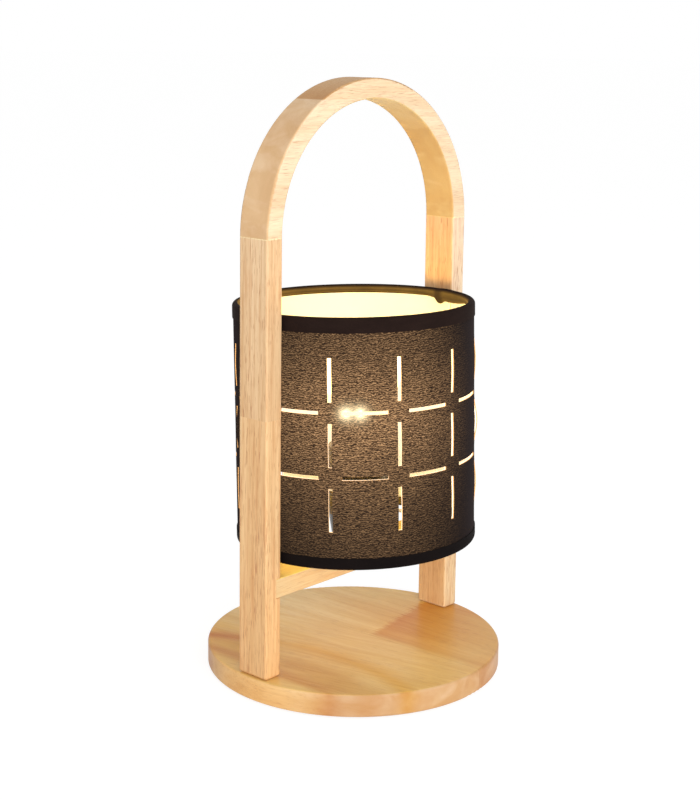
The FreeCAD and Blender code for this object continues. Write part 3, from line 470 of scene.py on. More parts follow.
def finishBulb():
    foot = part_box("bulb_globe")[0].z
    lightUp("opal_globe", "bulb_globe", glow["opal"], foot, foot + glow["collarHeight"] * mm,
            glow["collarStrength"], glow["strength"])
    # painted light: the cone is no lamp; its glow stands in for the light that falls on it inside the shade
    low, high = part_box("bulb_cone")
    lightUp("white_plastic", "bulb_cone", glow["plastic"], low.z, high.z, glow["conePaintedGlowFoot"], glow["conePaintedGlowTop"])
    print("bulb lit")


# helpers for new pieces

def clamp(value):
    return min(max(value, 0), 1)


def ease(share):
    return share * share * (3 - 2 * share)


def bell(value, middle, width, power=2):
    return math.exp(-((value - middle) / width) ** power)


def around(reach, angle, height):
    # the place at an angle in degrees round the lamp's axis
    angle = math.radians(angle)
    return Vector((reach * math.cos(angle), reach * math.sin(angle), height))


def pick(piece):
    bpy.ops.object.select_all(action="DESELECT")
    bpy.context.view_layer.objects.active = piece
    piece.select_set(True)


def enterEdit(piece, mode="VERT"):
    bpy.context.tool_settings.mesh_select_mode = (mode == "VERT", mode == "EDGE", mode == "FACE")
    pick(piece)
    bpy.ops.object.mode_set(mode="EDIT")


def leaveEdit():
    bpy.ops.object.mode_set(mode="OBJECT")


def mark(action="SELECT"):
    bpy.ops.mesh.select_all(action=action)


def faceOutwards(merge=True):
    mark()
    if merge:
        bpy.ops.mesh.remove_doubles(threshold=1e-6)
    bpy.ops.mesh.normals_make_consistent(inside=False)


def applyModifier(piece, kind, **settings):
    bpy.context.view_layer.objects.active = piece
    added = piece.modifiers.new(kind.lower(), kind)
    for name, value in settings.items():
        setattr(added, name, value)
    bpy.ops.object.modifier_apply(modifier=added.name)


def applyPlace():
    bpy.ops.object.transform_apply(location=True, rotation=True, scale=True)


def smooth(piece, angle=35):
    pick(piece)
    bpy.ops.object.shade_smooth_by_angle(angle=math.radians(angle))


def settle(piece, name, body, slot, *nodes):
    # the finished piece stands at the origin, rides on its body and stands for its CAD nodes
    pick(piece)
    applyPlace()
    piece.name = name
    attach(piece, body)
    if nodes:
        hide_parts(*nodes)
    return piece


def drawProfile(name, points, closed=False):
    # a line of vertices in the XZ plane, drawn point by point
    bpy.ops.mesh.primitive_plane_add(size=mm)
    piece = bpy.context.object
    piece.name = name
    enterEdit(piece)
    mark()
    bpy.ops.mesh.merge(type="CENTER")
    bpy.ops.transform.translate(value=(points[0][0], 0, points[0][1]))
    for before, after in zip(points, points[1:]):
        step = (after[0] - before[0], 0, after[1] - before[1])
        bpy.ops.mesh.extrude_vertices_move(TRANSFORM_OT_translate={"value": step})
    leaveEdit()
    if closed:
        for vertex in piece.data.vertices:
            vertex.select = vertex.index in (0, len(points) - 1)
        enterEdit(piece)
        bpy.ops.mesh.edge_face_add()
        leaveEdit()
    return piece


def spinProfile(piece, steps):
    enterEdit(piece)
    mark()
    bpy.ops.mesh.spin(steps=steps, angle=turn, center=(0, 0, 0), axis=(0, 0, 1))
    faceOutwards()
    leaveEdit()


def joinPieces(first, *others):
    pick(first)
    for piece in others:
        piece.select_set(True)
    bpy.ops.object.join()
    return first


# the slit pattern of the drum, as on the flat cloth before it is rolled
slits = {"columns": 11, "seamHalfAngle": 21, "turned": -0.8, "length": 27.9, "width": 2.5, "land": 13.3,
         "drop": 0.35, "levelLength": 29.6, "levelWidth": 2.3, "rows": 3, "levelRows": 2, "nudge": {8: -1.1}}
# the rolled cloth: mesh cell, lap at the seam and how far the cut edges bow outwards
drum = {"cell": 2.4, "seamAngle": -14.8, "lap": 8.0, "lapRise": 1.34, "lapBlend": 5.0, "lapEnd": 1.5,
        "bow": 0.6, "bowReach": 5.0, "bowSpan": 0.62, "wobble": 0.25}
# slits whose later edge has sprung out, as (column, row): millimetres
sprung = {(9, 1): 1.7, (9, 2): 0.6, (9, 0): 0.8, (4, 1): 0.8, (2, 2): 1.0, (0, 0): 0.9}
# the shade sits a little askew on its seat, and its arms take up the difference
seat = {"leanX": -1.6, "leanY": -0.2, "height": 155, "stretch": 0.0125, "stillReach": 27, "fullReach": 60,
        "skew": -0.0069, "skewTo": 41.9, "drop": 0.5, "shift": -1.1}


def leanShade(piece):
    pivot = Vector((0, 0, seat["height"] * mm))
    middle = 0.5 * (rimLow + rimHigh)
    lean = Vector((seat["leanX"], seat["leanY"], 0))
    turned = Matrix.Rotation(math.radians(lean.length), 3, lean)
    ahead = around(1, seat["skewTo"], 0)
    for vertex in piece.data.vertices:
        reach = math.hypot(vertex.co.x, vertex.co.y) / mm
        share = ease(clamp((reach - seat["stillReach"]) / (seat["fullReach"] - seat["stillReach"])))
        grown = vertex.co + Vector((seat["shift"], 0, -seat["drop"])) * mm
        grown.z += seat["stretch"] * (vertex.co.z - middle) + seat["skew"] * ahead.dot(vertex.co)
        vertex.co = vertex.co.lerp(turned @ (grown - pivot) + pivot, share)
    piece.data.update()


def alongCloth(angle, radius):
    # metres along the flat cloth from its seam to an angle round the drum
    return math.radians(angle - drum["seamAngle"]) * radius


def columnAngles():
    pitch = (360 - 2 * slits["seamHalfAngle"]) / (slits["columns"] - 1)
    first = slits["seamHalfAngle"] + slits["turned"]
    return [first + pitch * index + slits["nudge"].get(index, 0) for index in range(slits["columns"])]


def slitRows():
    # middles of the upright and of the level slits, in millimetres of height
    middle = 0.5 * (wallLow + wallHigh) / mm - slits["drop"]
    pitch = slits["length"] + slits["land"]
    upright = [middle + (index - 1) * pitch for index in range(slits["rows"])]
    level = [middle + (index - 0.5) * pitch for index in range(slits["levelRows"])]
    return upright, level


def slitHoles(radius):
    # (left, right, low, high) of each hole on the flat cloth, in metres
    columns = columnAngles()
    between = [0.5 * (before + after) for before, after in zip(columns, columns[1:])]
    upright, level = slitRows()
    holes = []
    for angles, heights, wide, tall in ((columns, upright, slits["width"], slits["length"]),
                                        (between, level, slits["levelLength"], slits["levelWidth"])):
        for angle in angles:
            along = alongCloth(angle, radius)
            for height in heights:
                holes.append((along - 0.5 * wide * mm, along + 0.5 * wide * mm,
                              (height - 0.5 * tall) * mm, (height + 0.5 * tall) * mm))
    return holes


def lapRise(share):
    # the outer end of the cloth steps up over the end that it is glued to
    return ease(share) * drum["lapRise"] * mm


def lapShare(angle):
    # how far the lap has risen, 0 to 1, at an angle round the drum
    along = alongCloth(angle, fabricOuter) / mm
    return clamp(min(1 + along / drum["lapBlend"], (drum["lap"] + drum["lapEnd"] - along) / drum["lapEnd"]))


def bowAt(angle, height):
    # cut edges of the upright slits stand off the drum, most at the middle of each slit
    rise = 0
    for index, column in enumerate(columnAngles()):
        away = math.radians(angle - column) * fabricOuter / mm
        if abs(away) > 3 * drum["bowReach"]:
            continue
        for row, middle in enumerate(slitRows()[0]):
            along = (height - middle) / (drum["bowSpan"] * slits["length"])
            if abs(along) < 1:
                strength = drum["bow"] * (0.75 + 0.5 * noise.noise(Vector((index * 1.7, row * 2.3, 0.5))))
                strength += sprung.get((index, row), 0) * (away > 0)
                rise += strength * math.cos(0.5 * math.pi * along) ** 2 * bell(away, 0, drum["bowReach"])
    return rise * mm


def cutSheet(name, radius):
    length = turn * radius + drum["lap"] * mm
    tall = wallHigh - wallLow
    bpy.ops.mesh.primitive_grid_add(x_subdivisions=round(length / (drum["cell"] * mm)),
                                    y_subdivisions=round(tall / (drum["cell"] * mm)), size=1)
    sheet = bpy.context.object
    sheet.name = name
    enterEdit(sheet)
    mark()
    bpy.ops.transform.resize(value=(length, tall, 1))
    bpy.ops.transform.translate(value=(0.5 * length, 0.5 * (wallLow + wallHigh), 0))
    holes = slitHoles(radius)
    for across in (Vector((1, 0, 0)), Vector((0, 1, 0))):
        first = 0 if across.x else 2
        for value in sorted({round(value, 7) for hole in holes for value in hole[first:first + 2]}):
            mark()
            bpy.ops.mesh.bisect(plane_co=across * value, plane_no=across, threshold=1e-6)
    mark("DESELECT")
    leaveEdit()
    for polygon in sheet.data.polygons:
        x, y = polygon.center.x, polygon.center.y
        polygon.select = any(hole[0] < x < hole[1] and hole[2] < y < hole[3] for hole in holes)
    enterEdit(sheet, "FACE")
    bpy.ops.mesh.delete(type="FACE")
    leaveEdit()
    return sheet, length, tall


def rollSheet(sheet, radius):
    step = drum["lapBlend"] * mm
    for vertex in sheet.data.vertices:
        along, height = vertex.co.x, vertex.co.y
        angle = drum["seamAngle"] + math.degrees(along / radius)
        reach = radius + lapRise(clamp((along - turn * radius + step) / step))
        reach += bowAt(angle, height / mm)
        swell = math.sin(math.pi * (height - wallLow) / (wallHigh - wallLow))
        reach += drum["wobble"] * mm * swell * noise.noise(around(2, angle, height * 20))
        vertex.co = around(reach, angle, height)
    sheet.data.update()


# looks of the dark outer cloth, lit from within; sizes in millimetres, along and up the cloth
cloth = {
    "thick": 0.7, "thread": 1.34, "threadRise": 0.077, "threadLevel": 0.225,
    "wander": 2.8, "wanderSize": (2.6, 2.2), "crinkle": 0.23, "crinkleSize": (1.7, 0.34),
    "weave": 0.34, "weaveSize": (0.95, 0.44), "cloudSize": (60, 40), "cloudRange": (0.2, 0.8, 0.85, 1.15),
    "stops": (0.385, 0.51, 0.645), "dark": rgb(0.012, 0.006, 0.003), "mid": rgb(0.16, 0.086, 0.040),
    "light": rgb(0.72, 0.41, 0.19), "body": rgb(0.008, 0.006, 0.005), "bodyLight": rgb(0.15, 0.10, 0.07),
    "roughness": 0.9, "gloss": 0.2, "relief": 0.12, "coatGrey": 0.12, "coatIndex": 1.03,
    "sheen": 0.07, "sheenRoughness": 0.6, "sheenTint": rgb(0.76, 0.60, 0.62),
    "glow": 11.5, "hotDrop": 16, "hotSpread": 48, "dimSide": (196, 234), "dimShare": 0.82,
    "edgeGlow": rgb(0.42, 0.17, 0.04), "edgeBright": rgb(0.85, 0.50, 0.20), "edgeStrength": 0.8,
    "edgeDark": rgb(0.4, 0.2, 0.08), "edgePale": rgb(0.7, 0.45, 0.2), "edgeFray": 0.6,
}
# the bulb's glare where it shows through a level slit: angle, height and reach of the two bright spots
glare = {"angles": (218.3, 224.8), "height": 191.3, "reach": 2.3, "fall": 1.1, "colour": (1.0, 0.84, 0.50),
         "strength": 40.0, "broken": 0.3}
# middle is painted light added to the lining's glow nearest the bulb
liner = {"thick": 0.6, "colour": rgb(0.86, 0.83, 0.69), "dull": (0.95, 0.94, 0.92), "cloud": (30, 30, 40),
         "glow": rgb(0.42, 0.29, 0.05), "edge": rgb(0.95, 0.80, 0.48), "middle": rgb(0.08, 0.10, 0.36),
         "paintedLightHeight": 156, "paintedLightSpread": 42, "grain": 0.5, "relief": 0.03}


def addGlare(real, broken, bright):
    # the cloth round one slit catches the glare of the bulb behind it
    for angle in glare["angles"]:
        along = alongCloth(angle, fabricOuter - 0.5 * cloth["thick"] * mm)
        off = vectorCalc("SUBTRACT", real, (along, glare["height"] * mm - wallLow, 0))
        off = calc("DIVIDE", vectorCalc("LENGTH", off), glare["reach"] * mm)
        fall = calc("EXPONENT", times(calc("POWER", off, glare["fall"]), -1))
        fall = times(times(fall, broken), glare["strength"])
        bright = vectorCalc("ADD", bright, scaled(glare["colour"], fall))
    return bright


def clothMaterial(length, tall):
    material, tree, shader = startMaterial("dark_fabric", {
        "Roughness": cloth["roughness"], "Specular IOR Level": cloth["gloss"], "Emission Strength": 1,
        "Coat Weight": 1, "Coat IOR": cloth["coatIndex"], "Coat Roughness": 1,
        "Coat Tint": rgb(*[cloth["coatGrey"]] * 3), "Sheen Weight": cloth["sheen"],
        "Sheen Roughness": cloth["sheenRoughness"], "Sheen Tint": cloth["sheenTint"]})
    real = vectorCalc("MULTIPLY", spotOf(tree, "UV"), (length, tall, 0))
    along, level = split(real)[:2]

    def patchy(kind, seed, detail=1):
        return grains(real, [*cloth[kind + "Size"], 1], detail, 0.5, seed)

    # uneven level threads, broken up by two sizes of crinkle
    phase = calc("DIVIDE", level, cloth["thread"] * mm)
    phase = plus(phase, times(patchy("wander", 2), cloth["wander"]))
    threads = times(calc("SINE", times(phase, turn)), cloth["threadRise"])
    threads = plus(threads, cloth["threadLevel"])
    for kind, seed in (("crinkle", 5), ("weave", 9)):
        threads = plus(threads, times(patchy(kind, seed), cloth[kind]))
    colours = (cloth["dark"], cloth["mid"], cloth["light"])
    specks = ramp(threads, list(zip(cloth["stops"], colours)))
    # the glow is strongest a little below the bulb's middle, and weaker round one side
    off = minus(split(spotOf(tree))[2], bulbCentre - cloth["hotDrop"] * mm)
    off = calc("DIVIDE", off, cloth["hotSpread"] * mm)
    hot = calc("DIVIDE", cloth["glow"], plus(1, times(off, off)))
    hot = times(hot, remap(patchy("cloud", 8, 2), *cloth["cloudRange"]))
    dim = [alongCloth(angle, fabricOuter) for angle in cloth["dimSide"]]
    hot = times(hot, remap(along, *dim, cloth["dimShare"], 1))
    bright = addGlare(real, plus(threads, glare["broken"]), scaled(specks, hot))
    feed(shader, "Emission Color", bright)
    feed(shader, "Base Color", mix(threads, cloth["body"], cloth["bodyLight"]))
    addBump(shader, threads, cloth["relief"], 0.7)
    return material


def edgeMaterial():
    # cut edges of the slits, where the light comes through the two layers
    material, tree, shader = startMaterial("cut_edge", {
        "Roughness": 0.8, "Emission Strength": cloth["edgeStrength"]})
    fray = grains(spotOf(tree), [cloth["edgeFray"]] * 3, 2)
    glowing = mix(remap(fray, 0.3, 0.7), cloth["edgeGlow"], cloth["edgeBright"])
    feed(shader, "Emission Color", glowing)
    feed(shader, "Base Color", mix(fray, cloth["edgeDark"], cloth["edgePale"]))
    return material


def liningMaterial(name, shine):
    # the lining's own colour, with a painted glow for the bulb's light that it scatters
    material, tree, shader = startMaterial(name, {
        "Roughness": 0.6, "Specular IOR Level": 0.3, "Emission Strength": 1})
    where = spotOf(tree)
    cloud = grains(where, liner["cloud"], 2)
    dull = toned(liner["colour"], *liner["dull"])
    feed(shader, "Base Color", mix(cloud, liner["colour"], dull))
    shining = mix(cloud, shine, toned(shine, *dull[:3]))
    # painted light: nearest to the bulb the glow is raised towards white
    off = minus(split(where)[2], liner["paintedLightHeight"] * mm)
    near = fallOff(calc("DIVIDE", off, liner["paintedLightSpread"] * mm))
    feed(shader, "Emission Color", deepen(shining, near, liner["middle"], "ADD"))
    addBump(shader, grains(where, [liner["grain"]] * 3, 2), liner["relief"], 0.4)
    return material


def makeShadeWall():
    outer = fabricOuter - 0.5 * cloth["thick"] * mm
    inner = liningOuter - 0.5 * liner["thick"] * mm
    made = []
    for name, radius, thick, slot, node in (
            ("fabric_drum", outer, cloth["thick"], "dark_fabric", "shade_fabric"),
            ("lining_drum", inner, liner["thick"], "white_lining", "shade_lining")):
        sheet, length, tall = cutSheet(name, radius)
        rollSheet(sheet, radius)
        if slot == "dark_fabric":
            surfaces = [clothMaterial(length, tall), edgeMaterial()]
        else:
            surfaces = [liningMaterial("white_lining", liner["glow"]),
                        liningMaterial("lining_edge", liner["edge"])]
        for surface in surfaces:
            sheet.data.materials.append(surface)
        applyModifier(sheet, "SOLIDIFY", thickness=thick * mm, offset=0, material_offset_rim=1)
        smooth(sheet, 50)
        leanShade(sheet)
        settle(sheet, name, "shade", slot, node)
        cutAway = sum((hole[1] - hole[0]) * (hole[3] - hole[2]) for hole in slitHoles(radius))
        made.append((sheet, (length, tall), length * tall - cutAway))
    print("shade cloth cut, rolled and lined")
    return made


# black tape folded over each rim and its wire ring, with places on the upper one where the glue has
# run down in a blob, where the hem is wide, where its painted glow is dim and where that glow reaches further
# up
tape = {"highUpper": 9.7, "highLower": 7.9, "thick": 0.6, "gap": 0.02, "drop": 1.4, "hem": 3.5,
        "steps": 300, "foldSteps": 10, "fray": 0.22, "nib": 0.5, "nibLevel": 0.35,
        "blobAngle": -8.6, "blobWidth": 3.0, "blobDrop": 3.6, "blobSwell": 0.7, "blobDark": 0.65,
        "wideAngle": -18, "wideWidth": 16, "wideDrop": 5.0, "wideDark": 0.15,
        "dimAngle": 42, "dimWidth": 28, "dimDark": 0.25, "creaseWidth": 0.7, "creaseDark": 0.5,
        "thinAngle": 132, "thinWidth": 14, "litHigherReach": 1.3, "litStart": 1.9, "litBlend": 0.4,
        # the lower tape is painted darker and the upper one lighter: the same black tape with painted shade
        # and light
        "lower": (rgb(0.004, 0.003, 0.003), rgb(0.014, 0.009, 0.008)),
        "upper": (rgb(0.011, 0.006, 0.005), rgb(0.032, 0.018, 0.014)), "glow": rgb(0.29, 0.155, 0.024),
        "roughness": 0.85, "gloss": 0.06, "rib": (1.2, 1.2, 0.28), "cloud": (18, 18, 6), "relief": 0.08}


def tapeMaterial(colours):
    material, tree, shader = startMaterial("black_tape", {
        "Roughness": tape["roughness"], "Specular IOR Level": tape["gloss"], "Emission Strength": 1})
    where = spotOf(tree)
    rib = grains(where, tape["rib"], 2, 0.6)
    cloud = grains(where, tape["cloud"], 2, 0.5, 3)
    feed(shader, "Base Color", mix(times(rib, cloud), *colours))
    # light passes through the turned-in hem
    hem = addNode("Attribute", {}, tree, attribute_name="hem").outputs["Fac"]
    hem = times(hem, remap(cloud, 0.3, 0.7, 0.75, 1.1))
    hem = times(hem, remap(rib, 0.3, 0.7, 0.8, 1.1))
    feed(shader, "Emission Color", mix(hem, rgb(0, 0, 0), tape["glow"]))
    addBump(shader, rib, tape["relief"], 0.6)
    return material


def makeTape(name, node, rim, way):
    # way is 1 for the lower rim and -1 for the upper one; places are measured from the rim
    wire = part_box("top_wire")
    half = 0.5 * tape["thick"] * mm
    outside = tapeOuter - half
    inside = wire[1].y - (wire[1].z - wire[0].z) - tape["gap"] * mm - half
    lining = liningOuter - (liner["thick"] + tape["gap"]) * mm - half
    centre, bead = 0.5 * (outside + inside), 0.5 * (outside - inside)
    fold = bead + half
    high = tape["highLower" if way > 0 else "highUpper"] * mm
    hemStart, hemEnd = fold + tape["drop"] * mm, fold + tape["hem"] * mm
    points = [(outside, high), (outside, high - 0.5 * mm), (outside, 0.75 * high), (outside, 0.5 * high)]
    for index in range(tape["foldSteps"] + 1):
        angle = math.pi * index / tape["foldSteps"]
        points.append((centre + bead * math.cos(angle), fold - bead * math.sin(angle)))
    points += [(inside, hemStart), (0.4 * inside + 0.6 * lining, 0.5 * (hemStart + hemEnd)), (lining, hemEnd)]
    piece = drawProfile(name, [(reach, rim + way * deep) for reach, deep in points])
    spinProfile(piece, tape["steps"])

    hem = piece.data.attributes.new("hem", "FLOAT", "POINT")
    for vertex in piece.data.vertices:
        spot = Vector((vertex.co.x, vertex.co.y, rim)) / mm
        angle = math.degrees(math.atan2(vertex.co.y, vertex.co.x))
        reach, deep = math.hypot(vertex.co.x, vertex.co.y), way * (vertex.co.z - rim)
        blob, wide, thin = [bell(angle, tape[kind + "Angle"], tape[kind + "Width"], power) * (way < 0)
                            for kind, power in (("blob", 4), ("wide", 2), ("thin", 2))]
        # painted shade: the hem's painted glow is darker along its crease
        crease = bell(deep, hemStart, tape["creaseWidth"] * mm)
        dim = bell(angle, tape["dimAngle"], tape["dimWidth"])
        # painted light: the turned-in part glows, and on one side the glow reaches further up
        lit = reach < centre
        if deep < fold:
            lit = (centre - reach) / (tape["litBlend"] * bead) - tape["litStart"]
            lit = clamp(lit + tape["litHigherReach"] * thin)
        # the painted glow is weakened along the crease, at the blob, at the wide hem and on the dim side
        for kind, share in (("crease", crease), ("blob", blob), ("wide", wide), ("dim", dim)):
            lit *= 1 - tape[kind + "Dark"] * share
        hem.data[vertex.index].value = lit
        if reach > centre:
            reach += lapRise(lapShare(angle))
            if deep > high - 0.1 * mm:
                deep += tape["fray"] * mm * (noise.noise(spot * 0.9) + noise.noise(spot * 0.2))
                nib = noise.noise(spot * 0.35 + Vector((9, 9, 9))) - tape["nibLevel"]
                deep += tape["nib"] * mm * max(0, nib)
        elif deep > fold:
            share = (deep - fold) / (tape["hem"] * mm)
            ragged = noise.noise(spot * 0.25) + 0.6 * noise.noise(spot * 0.8)
            deep += 1.6 * tape["fray"] * share * mm * ragged
            deep += (tape["blobDrop"] * blob + tape["wideDrop"] * wide) * share * mm
            reach -= tape["blobSwell"] * blob * mm
        vertex.co = around(reach, angle, rim + way * deep)
    applyModifier(piece, "SOLIDIFY", thickness=tape["thick"] * mm, offset=0)
    smooth(piece, 60)
    leanShade(piece)
    # painted shade and light: each rim's tape gets its own darker or lighter copy of the black
    dress(piece, tapeMaterial(tape["lower"] if way > 0 else tape["upper"]))
    settle(piece, name, "shade", "black_tape", node)
    turnedIn = tape["drop"] * mm + math.hypot(hemEnd - hemStart, lining - inside)
    return piece, (turn * centre, high - fold + math.pi * bead + turnedIn)


# wire rings with a butt weld, and bent arms that carry the shade on its hub
wires = {"ringSteps": 220, "sideSteps": 12, "weldAngle": 150, "weldSwell": 0.35, "weldReach": 2.0,
         "armAngle": 44.1, "arms": 3, "bend": 7.0, "bendSteps": 8, "straightSteps": 6}


def makeRing(name, node, surface):
    low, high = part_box(node)
    radius = 0.5 * (high.z - low.z)
    circle = high.y - radius
    bpy.ops.mesh.primitive_torus_add(major_segments=wires["ringSteps"], minor_segments=wires["sideSteps"],
                                     major_radius=circle, minor_radius=radius,
                                     location=(0, 0, low.z + radius))
    piece = bpy.context.object
    applyPlace()
    for vertex in piece.data.vertices:
        angle = math.degrees(math.atan2(vertex.co.y, vertex.co.x))
        along = math.radians(angle - wires["weldAngle"]) * circle / mm
        swell = 1 + wires["weldSwell"] * bell(along, 0, wires["weldReach"])
        middle = around(circle, angle, low.z + radius)
        vertex.co = middle + (vertex.co - middle) * swell
    smooth(piece, 60)
    leanShade(piece)
    dress(piece, surface)
    return settle(piece, name, "shade", "painted_wire", node)


def makeArms(surface):
    low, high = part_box("bottom_wire")
    radius = 0.5 * (high.z - low.z)
    circle, foot = high.y - radius, high.z - 0.5 * radius
    hub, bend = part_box("spider_hub")[1], wires["bend"] * mm
    knee = Vector((circle - bend, 0, hub.z - radius - bend))
    steps = wires["straightSteps"]

    def drawOut(step):
        for part in range(steps):
            bpy.ops.mesh.extrude_region_move(TRANSFORM_OT_translate={"value": step})

    made = []
    for index in range(wires["arms"]):
        bpy.ops.mesh.primitive_circle_add(vertices=wires["sideSteps"], radius=radius, fill_type="NGON",
                                          location=(circle, 0, foot))
        arm = bpy.context.object
        enterEdit(arm, "FACE")
        mark()
        drawOut((0, 0, (knee.z - foot) / steps))
        bpy.ops.mesh.spin(steps=wires["bendSteps"], angle=-math.pi / 2, center=knee, axis=(0, 1, 0))
        drawOut(((hub.x - knee.x) / steps, 0, 0))
        faceOutwards()
        leaveEdit()
        applyPlace()
        arm.rotation_euler.z = math.radians(wires["armAngle"] + 360 / wires["arms"] * index)
        applyPlace()
        made.append(arm)
    arms = joinPieces(*made)
    smooth(arms, 50)
    leanShade(arms)
    dress(arms, surface)
    return settle(arms, "shade_arms", "shade", "painted_wire", "spider_arms")


# screw threads of the lampholder's skirt and of the bulb's cap
threads = {
    "waveSteps": 10, "waveShape": 0.8, "skirtPitch": 2.5, "skirtDepth": 0.95, "skirtWall": 2.3,
    "skirtSteps": 96, "rimRound": 0.8, "lipDrop": 0.3, "flangeThick": 2.4, "flangeRound": 0.4,
    "ringWall": 6, "seatGap": 0.1, "shellGap": 0.08, "capPitch": 3.4, "capDepth": 1.1, "capSteps": 72,
    "collar": 3.0, "collarRound": 0.3, "axisGap": 0.1,
}


def threadTube(name, crest, root, bore, low, high, pitch, steps):
    # one pitch of thread is screwed up the axis, cut level at both ends and given a bore
    count = threads["waveSteps"]
    points = []
    for index in range(count + 1):
        rise = (0.5 - 0.5 * math.cos(turn * index / count)) ** threads["waveShape"]
        points.append((root + (crest - root) * rise, low - pitch * (1 - index / count)))
    piece = drawProfile(name, points)
    turns = math.ceil((high - low) / pitch) + 2
    applyModifier(piece, "SCREW", axis="Z", angle=turn, screw_offset=pitch, steps=steps, render_steps=steps,
                  iterations=turns, use_merge_vertices=True, merge_threshold=1e-6)
    enterEdit(piece, "EDGE")
    mark()
    bpy.ops.mesh.remove_doubles(threshold=1e-6)
    for level, side in ((low, "clear_inner"), (high, "clear_outer")):
        mark()
        bpy.ops.mesh.bisect(plane_co=(0, 0, level), plane_no=(0, 0, 1), **{side: True})
    mark("DESELECT")
    bpy.ops.mesh.select_non_manifold()
    bpy.ops.mesh.extrude_region_move()
    leaveEdit()
    for vertex in piece.data.vertices:
        if vertex.select:
            vertex.co.xy = vertex.co.xy.normalized() * bore
    enterEdit(piece, "EDGE")
    bpy.ops.mesh.bridge_edge_loops()
    faceOutwards(merge=False)
    leaveEdit()
    return piece


def turnWithThread(kind, outline, tube, surface, *role):
    # a turned body and its thread, made one piece
    steps = threads[kind + "Steps"]
    body = drawProfile(kind + "_body", outline, closed=True)
    spinProfile(body, steps)
    smooth(body, 35)
    thread = threadTube(kind + "_thread", *tube, threads[kind + "Pitch"] * mm, steps)
    smooth(thread, 60)
    piece = joinPieces(body, thread)
    dress(piece, surface)
    return settle(piece, *role)


def makeSkirt(surface):
    low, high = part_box("holder_skirt")
    crest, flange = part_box("shade_ring")[1].x - threads["ringWall"] * mm, high.x
    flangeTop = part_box("spider_hub")[0].z - threads["seatGap"] * mm
    under = flangeTop - threads["flangeThick"] * mm
    bore, root = crest - threads["skirtWall"] * mm, crest - threads["skirtDepth"] * mm
    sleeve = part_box("screw_shell")[1].x + threads["shellGap"] * mm
    shelf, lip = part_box("holder_insert")[1].z, crest - threads["lipDrop"] * mm
    edge, rounding = threads["flangeRound"] * mm, threads["rimRound"] * mm
    outline = [
        (bore, low.z), (crest, low.z), (crest, under), (flange - edge, under), (flange, under + edge),
        (flange, flangeTop - edge), (flange - edge, flangeTop), (root, flangeTop),
        (root, high.z - 2 * rounding), (lip, high.z - 2 * rounding), (lip, high.z - rounding),
        (crest - rounding, high.z), (sleeve, high.z), (sleeve, shelf), (bore, shelf)]
    tube = (crest, root - 0.2 * mm, root - 0.6 * mm, flangeTop - 0.5 * mm, high.z - 1.5 * rounding)
    return turnWithThread("skirt", outline, tube, surface,
                          "threaded_skirt", "frame", "black_plastic", "holder_skirt")


def makeCap(surface):
    low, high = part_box("bulb_cap")
    crest, tip, axis = high.x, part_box("bulb_insulator")[1].x, threads["axisGap"] * mm
    shoulder, root = low.z + crest - tip, crest - threads["capDepth"] * mm
    collar, edge = threads["collar"] * mm, threads["collarRound"] * mm
    outline = [
        (axis, low.z), (tip, low.z), (root, shoulder), (root, high.z - collar),
        (crest, high.z - 0.7 * collar), (crest, high.z - edge), (crest - edge, high.z), (axis, high.z)]
    tube = (crest, root - 0.1 * mm, root - 0.5 * mm, shoulder, high.z - collar)
    return turnWithThread("cap", outline, tube, surface, "threaded_cap", "bulb", "nickel_cap", "bulb_cap")


def makeShade(rigid):
    (fabric, flat, area), (lining, liningFlat, liningArea) = makeShadeWall()
    lower, lowerFlat = makeTape("lower_tape", "bottom_tape", rimLow, 1)
    upper, upperFlat = makeTape("upper_tape", "top_tape", rimHigh, -1)
    rings = [makeRing("lower_ring", "bottom_wire", rigid["painted_wire"]),
             makeRing("upper_ring", "top_wire", rigid["painted_wire"])]
    makeArms(rigid["painted_wire"])
    print("tapes, wire rings and arms made")


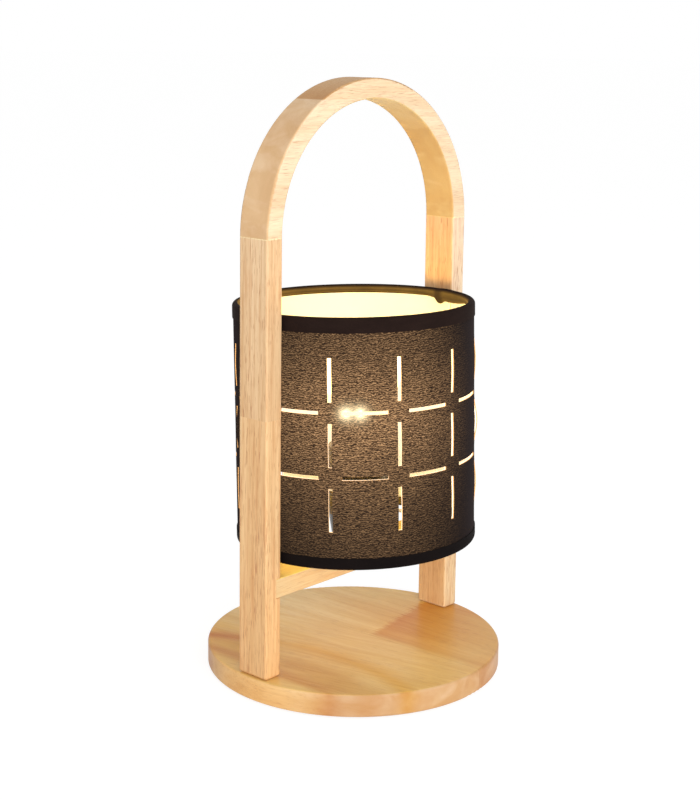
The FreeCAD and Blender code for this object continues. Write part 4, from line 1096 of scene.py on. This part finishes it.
# lights: plain, soft, at about the level at which a colour renders as written
studio = {"world": 0.58, "key": 32.0, "keySize": 1.2, "keyPlace": (-1.12, -1.53, 0.45),
          "fill": 3.0, "fillSize": 1.4, "fillPlace": (1.3, -1.3, 0.8), "aim": (0, 0, 0.2), "floorSize": 60,
          "floorGlow": 0.84, "floor": rgb(0.27, 0.27, 0.27), "floorBounce": rgb(0.8, 0.8, 0.8)}


def addLight(name):
    place = Vector(studio[name + "Place"])
    bpy.ops.object.light_add(type="AREA", location=place)
    light = bpy.context.object
    light.name = name
    light.data.energy = studio[name]
    light.data.size = studio[name + "Size"]
    light.visible_glossy = False
    light.rotation_euler = (Vector(studio["aim"]) - place).to_track_quat("-Z", "Y").to_euler()


def seenDirectly(tree):
    # 1 for the camera and for what gloss and glass show, 0 for light that only bounces
    path = addNode("LightPath", {}, tree).outputs
    seen = calc("MAXIMUM", path["Is Camera Ray"], path["Is Glossy Ray"])
    return calc("MAXIMUM", seen, path["Is Transmission Ray"])


def addStudio():
    world = bpy.data.worlds.new("studio")
    bpy.context.scene.world = world
    world.use_nodes = True
    tree = world.node_tree
    background = tree.nodes["Background"]
    background.inputs["Color"].default_value = rgb(1, 1, 1)
    feed(background, "Strength", remap(seenDirectly(tree), 0, 1, studio["world"], 1))

    bpy.ops.mesh.primitive_plane_add(size=studio["floorSize"])
    floor = bpy.context.object
    floor.name = "floor"
    material, tree, shader = startMaterial("floor", {
        "Roughness": 0.9, "Specular IOR Level": 0, "Emission Color": rgb(1, 1, 1)})
    seen = seenDirectly(tree)
    feed(shader, "Base Color", mix(seen, studio["floorBounce"], studio["floor"]))
    feed(shader, "Emission Strength", times(seen, studio["floorGlow"]))
    dress(floor, material)
    addLight("key")
    addLight("fill")
    print("studio lit")


addCamera()
finishWood()
rigid = finishRigid()
finishBulb()
makeShade(rigid)
# the skirt takes the warm brown copy of its black plastic: painted light
makeSkirt(rigid["skirt_plastic_painted_warm"])
makeCap(rigid["nickel_cap"])
print("threads cut")
addStudio()
